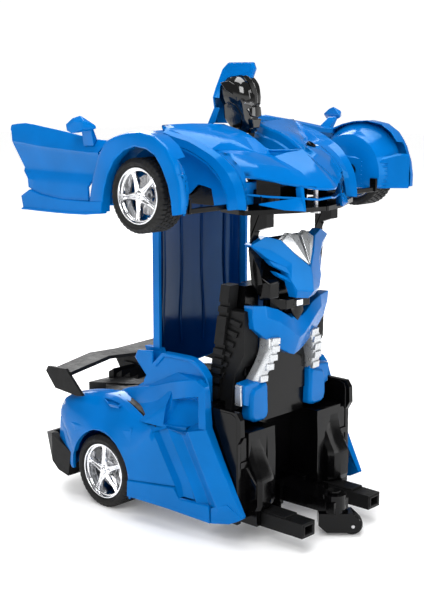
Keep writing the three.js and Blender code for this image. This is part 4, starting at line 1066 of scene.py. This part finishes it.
# ---------------------------------------------------------------- head
def skull_net():
    """Level sections of the helmet, each a squarish oval."""
    steps, power = 28, 2.6
    rows = []
    for z, half, front, back in ((237, 4.6, -73.4, -85), (240, 6, -71.8, -87), (246, 7.6, -71.6, -89.6),
            (252, 9, -71.4, -93), (258, 10.4, -70.6, -96), (263, 10.2, -71.6, -95.6), (267, 8.9, -74, -94),
            (270, 6.4, -77.4, -91.6), (271.6, 2.6, -81, -87.6)):
        row = []
        for k in range(steps):
            a = 2 * math.pi * k / steps
            c, s = math.cos(a), math.sin(a)
            reach = 1 / (abs(c) ** power + abs(s) ** power) ** (1 / power)
            row.append(((front + back) / 2 + (front - back) / 2 * reach * c, half * reach * s, z))
        rows.append(row)
    return Net().strip(*rows, ring=True).patch(*rows[-1]).patch(*reversed(rows[0]))


def head():
    skull_net().piece("helmet_shell", BLACK, "head", ("helmet",), edge=0, angle=50)
    line = curve([(-93, 268.6), (-84.5, 272.6), (-76.5, 270.8), (-71, 266), (-69.2, 260), (-69, 254.6)], 4)
    rib = Net()
    rows = []
    for k, (x, z) in enumerate(line):
        wide = 2.7 - 1.2 * k / len(line)
        ahead, up = (-0.2, 0.6) if k < 8 else (0.7, 0.2)
        section = ((-wide - 0.6, -2 * ahead, -2), (-wide, ahead, up), (0, ahead * 1.5, up * 1.6),
            (wide, ahead, up), (wide + 0.6, -2 * ahead, -2))
        rows.append([(x + dx, y, z + dz) for y, dx, dz in section])
    rib.strip(*rows)
    rib.piece("helmet_rib", BLACK, "head", edge=0.2, angle=40)
    brow = [(-69.4, 1.6, 259.6), (-69, 1.6, 255.4), (-74, 8.6, 256), (-85, 11.6, 262.4), (-90, 10.6, 267),
        (-84, 9.6, 268), (-75, 8.2, 263.4)]
    guard = [(-78.4, 9.6, 254), (-74.4, 8, 247), (-77, 6.8, 240), (-84, 7, 240), (-88, 8.8, 246),
        (-87.4, 10, 254), (-83, 10.4, 256)]
    for name, outline, depth in (("helmet_brow", brow, 1.2), ("helmet_guard", guard, 0.7)):
        plate = Net().hull(outline + [(x - 1.5, y - depth * 1.8, z) for x, y, z in outline])
        plate.doubled().piece(name, BLACK, "head", edge=0.45, segments=3)
    face = Net().hull([(-69.6, 0, 253.6), (-68.8, 0, 246.4), (-69.8, 3.4, 252.6), (-69.6, 4.2, 247),
        (-71.2, 5.6, 250), (-74, 6, 252), (-74, 0, 246), (-69.6, -4.2, 247), (-69.8, -3.4, 252.6),
        (-71.2, -5.6, 250), (-74, -6, 252)])
    chin = ((-69.4, 4, 245.6), (-70.2, 3, 240), (-76, 5.4, 245.6), (-76, 4, 238.6))
    face.hull([(x, sign * y, z) for x, y, z in chin for sign in (-1, 1)])
    face.piece("face_mask", BLACK, "head", edge=0.5, segments=3)
    visor = Net().hull(
        [(-69.9, 1.4, 254.8), (-69.9, 1.8, 253.6), (-73, 7.4, 254.4), (-73.4, 7.2, 256), (-75, 6, 255)])
    visor.doubled().piece("visor", "chrome", "head", edge=0.2)
    neck = Net().lathe([(0.01, -5.8), (4.4, -5.8), (4.4, 5.8), (0.01, 5.8)], -87, 232, 40)
    neck.block(-90.6, -83, -5.4, 5.4, 232, 240)
    neck.piece("neck", BLACK, "head", edge=0.5)
    lacquer = gloss("black_lacquer", (0.001, 0.001, 0.001), (0.05, 0.1), shine=0.75)
    for name in ("helmet_shell", "helmet_rib", "helmet_brow", "helmet_guard", "face_mask", "neck"):
        bpy.data.objects[name].data.materials[0] = lacquer


def crest_net():
    """Swept shell behind the helmet: a thin fin at the top that opens out into two wings lower down."""
    ridge = [(-73.4, 0, 269.6), (-70.8, 0, 275.2), (-72.6, 0, 279), (-92.4, 0, 279), (-96.4, 0, 272),
        (-98.6, 0, 263), (-98.8, 0, 257), (-101, 0, 250), (-104.6, 0, 242.4)]
    edge = [(-74, 1.6, 269.4), (-71.6, 1.8, 275), (-73.2, 1.8, 278.6), (-91.6, 2, 278.6), (-92.4, 6, 275),
        (-93.6, 10.8, 264), (-93.8, 13.2, 258.2), (-93.4, 12.4, 252), (-96.4, 15, 242.2)]
    net = Net().strip(ridge, [lerp(a, b, 0.5) for a, b in zip(ridge, edge)], edge)
    net.patch(edge[0], edge[1], edge[2], edge[3], edge[4], (-86, 5, 270.6), (-80, 3, 271.4))
    net.patch(edge[5], edge[6], (-90, 11.2, 257.8), (-91.4, 9, 265))
    net.patch(edge[4], edge[5], (-91.4, 9, 265), (-86, 5, 270.6))
    net.patch(edge[7], edge[8], (-93, 12, 243), (-90, 10.8, 252))
    return net.doubled()


legs()
torso()
head()
crest_net().piece("crest_shell", BLUE, "head", ("crest_panel",), wall=1.0, edge=0.3, angle=24)


# ---------------------------------------------------------------- rear body under the moulded panels
SKIN_X, SKIN_Y, SKIN_Z = (-112.5, -71), (47.8, 56.5), (63.5, 84)    # limits of the covered skin


def trimmed_body():
    """The rear body without the plain outer skin that the moulded side panels cover."""
    node = nodes["rear_body"]
    made = bmesh.new()
    made.from_mesh(node.data)
    made.transform(node.matrix_world)
    cuts = [(at(0, side * y, 0), (0, side, 0)) for _, side in SIDES for y in SKIN_Y]
    cuts += [(at(x, 0, 0), (1, 0, 0)) for x in SKIN_X] + [(at(0, 0, z), (0, 0, 1)) for z in SKIN_Z]
    for point, normal in cuts:
        geometry = made.verts[:] + made.edges[:] + made.faces[:]
        bmesh.ops.bisect_plane(made, geom=geometry, dist=1e-6, plane_co=point, plane_no=normal)
    skin = []
    for face in made.faces:
        middle = face.calc_center_median()
        for limit in (at(SKIN_X[0], SKIN_Y[1], SKIN_Z[0]), at(SKIN_X[1], SKIN_Y[0], SKIN_Z[1])):
            if abs(middle.y) > limit.y and middle.x > limit.x and middle.z < limit.z:
                skin.append(face)
                break
    bmesh.ops.delete(made, geom=skin, context="FACES")
    mesh = bpy.data.meshes.new("rear_shell")
    made.to_mesh(mesh)
    made.free()
    shell = dress(linked("rear_shell", mesh), BLUE, "rear_base")
    merge_flats(shell)
    smooth(shell, 30)
    soften(shell, 0.5)
    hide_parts("rear_body")


def roof_lining():
    """The inside of the roof, a smooth curved sheet with two mouldings on either side, in a darker copy of
    the blue plastic as painted shade.
    """
    half = curve([(-117.2, 37.9), (-119, 34.4), (-121.2, 30.6), (-124.1, 15), (-124.7, 0)], 6)
    section = half + [(x, -y) for x, y in reversed(half[:-1])]
    columns, steps = [], 12
    for x, y in section:
        low = 104.6 - 16.4 * math.sqrt(1 - (y / 41) ** 2)       # the rounded tail end
        high = 195.6 - max(0, abs(y) - 34) * 0.85               # the front edge with cut corners
        columns.append([(x, y, low + (high - low) * t / steps) for t in range(steps + 1)])
    lining = Net().strip(*columns).piece("roof_lining", BLUE, "roof", edge=0, angle=60)
    trim = Net()
    for sign in (1, -1):
        for x, y in ((-121.2, 28.6), (-124.2, 10)):
            path = [(x + 0.4, y, 100), (x + 0.4, y + 0.8, 120), (x + 0.2, y - 1, 150),
                (x + 0.2, y - 0.4, 190)]
            rows = [[(p, sign * (q - 0.9), r), (p + 0.7, sign * (q - 0.3), r),
                (p + 0.7, sign * (q + 0.3), r), (p, sign * (q + 0.9), r)] for p, q, r in curve(path, 4)]
            trim.strip(*rows)
    beads = trim.piece("roof_beads", BLUE, "roof", edge=0, angle=60)
    # The lining and beads take the darker blue: painted shade for the shadowed inside of the roof.
    for inside in (lining, beads):
        inside.data.materials[0] = SHADED_BLUE


# Same blue plastic made darker: painted shade for the inside of the roof, not a different plastic.
SHADED_BLUE = gloss("blue_painted_shade", (0.0, 0.02, 0.105), (0.1, 0.2), (0.4, 0.7, 1.0), 0.3)
trimmed_body()
roof_lining()


# ---------------------------------------------------------------- floor, light and camera
SOFTBOXES = (  # name, place in metres, size in metres, watts
    ("key", (0.6, -1.0, 1.0), (0.7, 0.7), 13), ("top", (-0.1, 0.0, 1.3), (1.0, 0.8), 17),
    ("fill", (1.2, 0.35, 0.5), (0.6, 0.9), 6), ("rim", (-1.0, 0.6, 0.9), (0.6, 0.8), 10),
)
LIGHT_TARGET = (0.02, 0, 0.14)
CAMERA_PLACE = (405.1, -546.0, 273.4)       # millimetres in the robot's frame
CAMERA_HEADING = (-0.6717, 0.7166, -0.1882)
LENS_MM, SENSOR_MM = 71.52, 36


def floor():
    """A white floor that glows more with the distance, so that it has no far edge."""
    mesh = bpy.data.meshes.new("floor")
    mesh.from_pydata([(-4, -4, 0), (4, -4, 0), (4, 4, 0), (-4, 4, 0)], [], [(0, 1, 2, 3)])
    ground = linked("floor", mesh)
    made = Shader("floor", (0.93, 0.93, 0.93), Roughness=0.6, Emission_Color=(1, 1, 1, 1),
        Emission_Strength=0.12)
    made.tint(made.noise(3, 2), (0.91, 0.91, 0.915))
    reach = made.node("VectorMath", operation="LENGTH")
    made.link(made.place, reach.inputs[0])
    made.link(made.ramp(reach.outputs["Value"], 0.12, 0.75, 0.25, 1.3),
        made.shader.inputs["Emission Strength"])
    made.bump(made.noise(300, 2), 0.00005, 0.2)
    mesh.materials.append(made.material)


def softbox(name, place, target, size, energy):
    light = bpy.data.lights.new(name, "AREA")
    light.shape = "RECTANGLE"
    light.size, light.size_y = size
    light.energy = energy
    box = linked(name, light)
    box.location = place
    box.rotation_euler = (Vector(target) - Vector(place)).to_track_quat("-Z", "Y").to_euler()


def studio():
    """A white world, bright near the horizon and dimmer above, and four softboxes."""
    world = bpy.data.worlds.new("studio")
    world.use_nodes = True
    tree = world.node_tree
    height = tree.nodes.new("ShaderNodeSeparateXYZ")
    tree.links.new(tree.nodes.new("ShaderNodeTexCoord").outputs["Generated"], height.inputs["Vector"])
    sky = tree.nodes.new("ShaderNodeMapRange")
    for name, value in (("From Min", 0.08), ("From Max", 0.2), ("To Min", 1.05), ("To Max", 0.22)):
        sky.inputs[name].default_value = value
    tree.links.new(height.outputs["Z"], sky.inputs["Value"])
    tree.links.new(sky.outputs["Result"], tree.nodes["Background"].inputs["Strength"])
    tree.nodes["Background"].inputs["Color"].default_value = (1, 1, 1, 1)
    bpy.context.scene.world = world
    bpy.context.scene.view_settings.view_transform = "Standard"
    for name, place, size, watts in SOFTBOXES:
        softbox(name, place, LIGHT_TARGET, size, watts)


def camera():
    lens = bpy.data.cameras.new("camera")
    lens.lens, lens.sensor_width = LENS_MM, SENSOR_MM
    view = linked("camera", lens)
    view.location = at(*CAMERA_PLACE)
    view.rotation_euler = Vector(CAMERA_HEADING).to_track_quat("-Z", "Y").to_euler()
    bpy.context.scene.camera = view


floor()
studio()
camera()
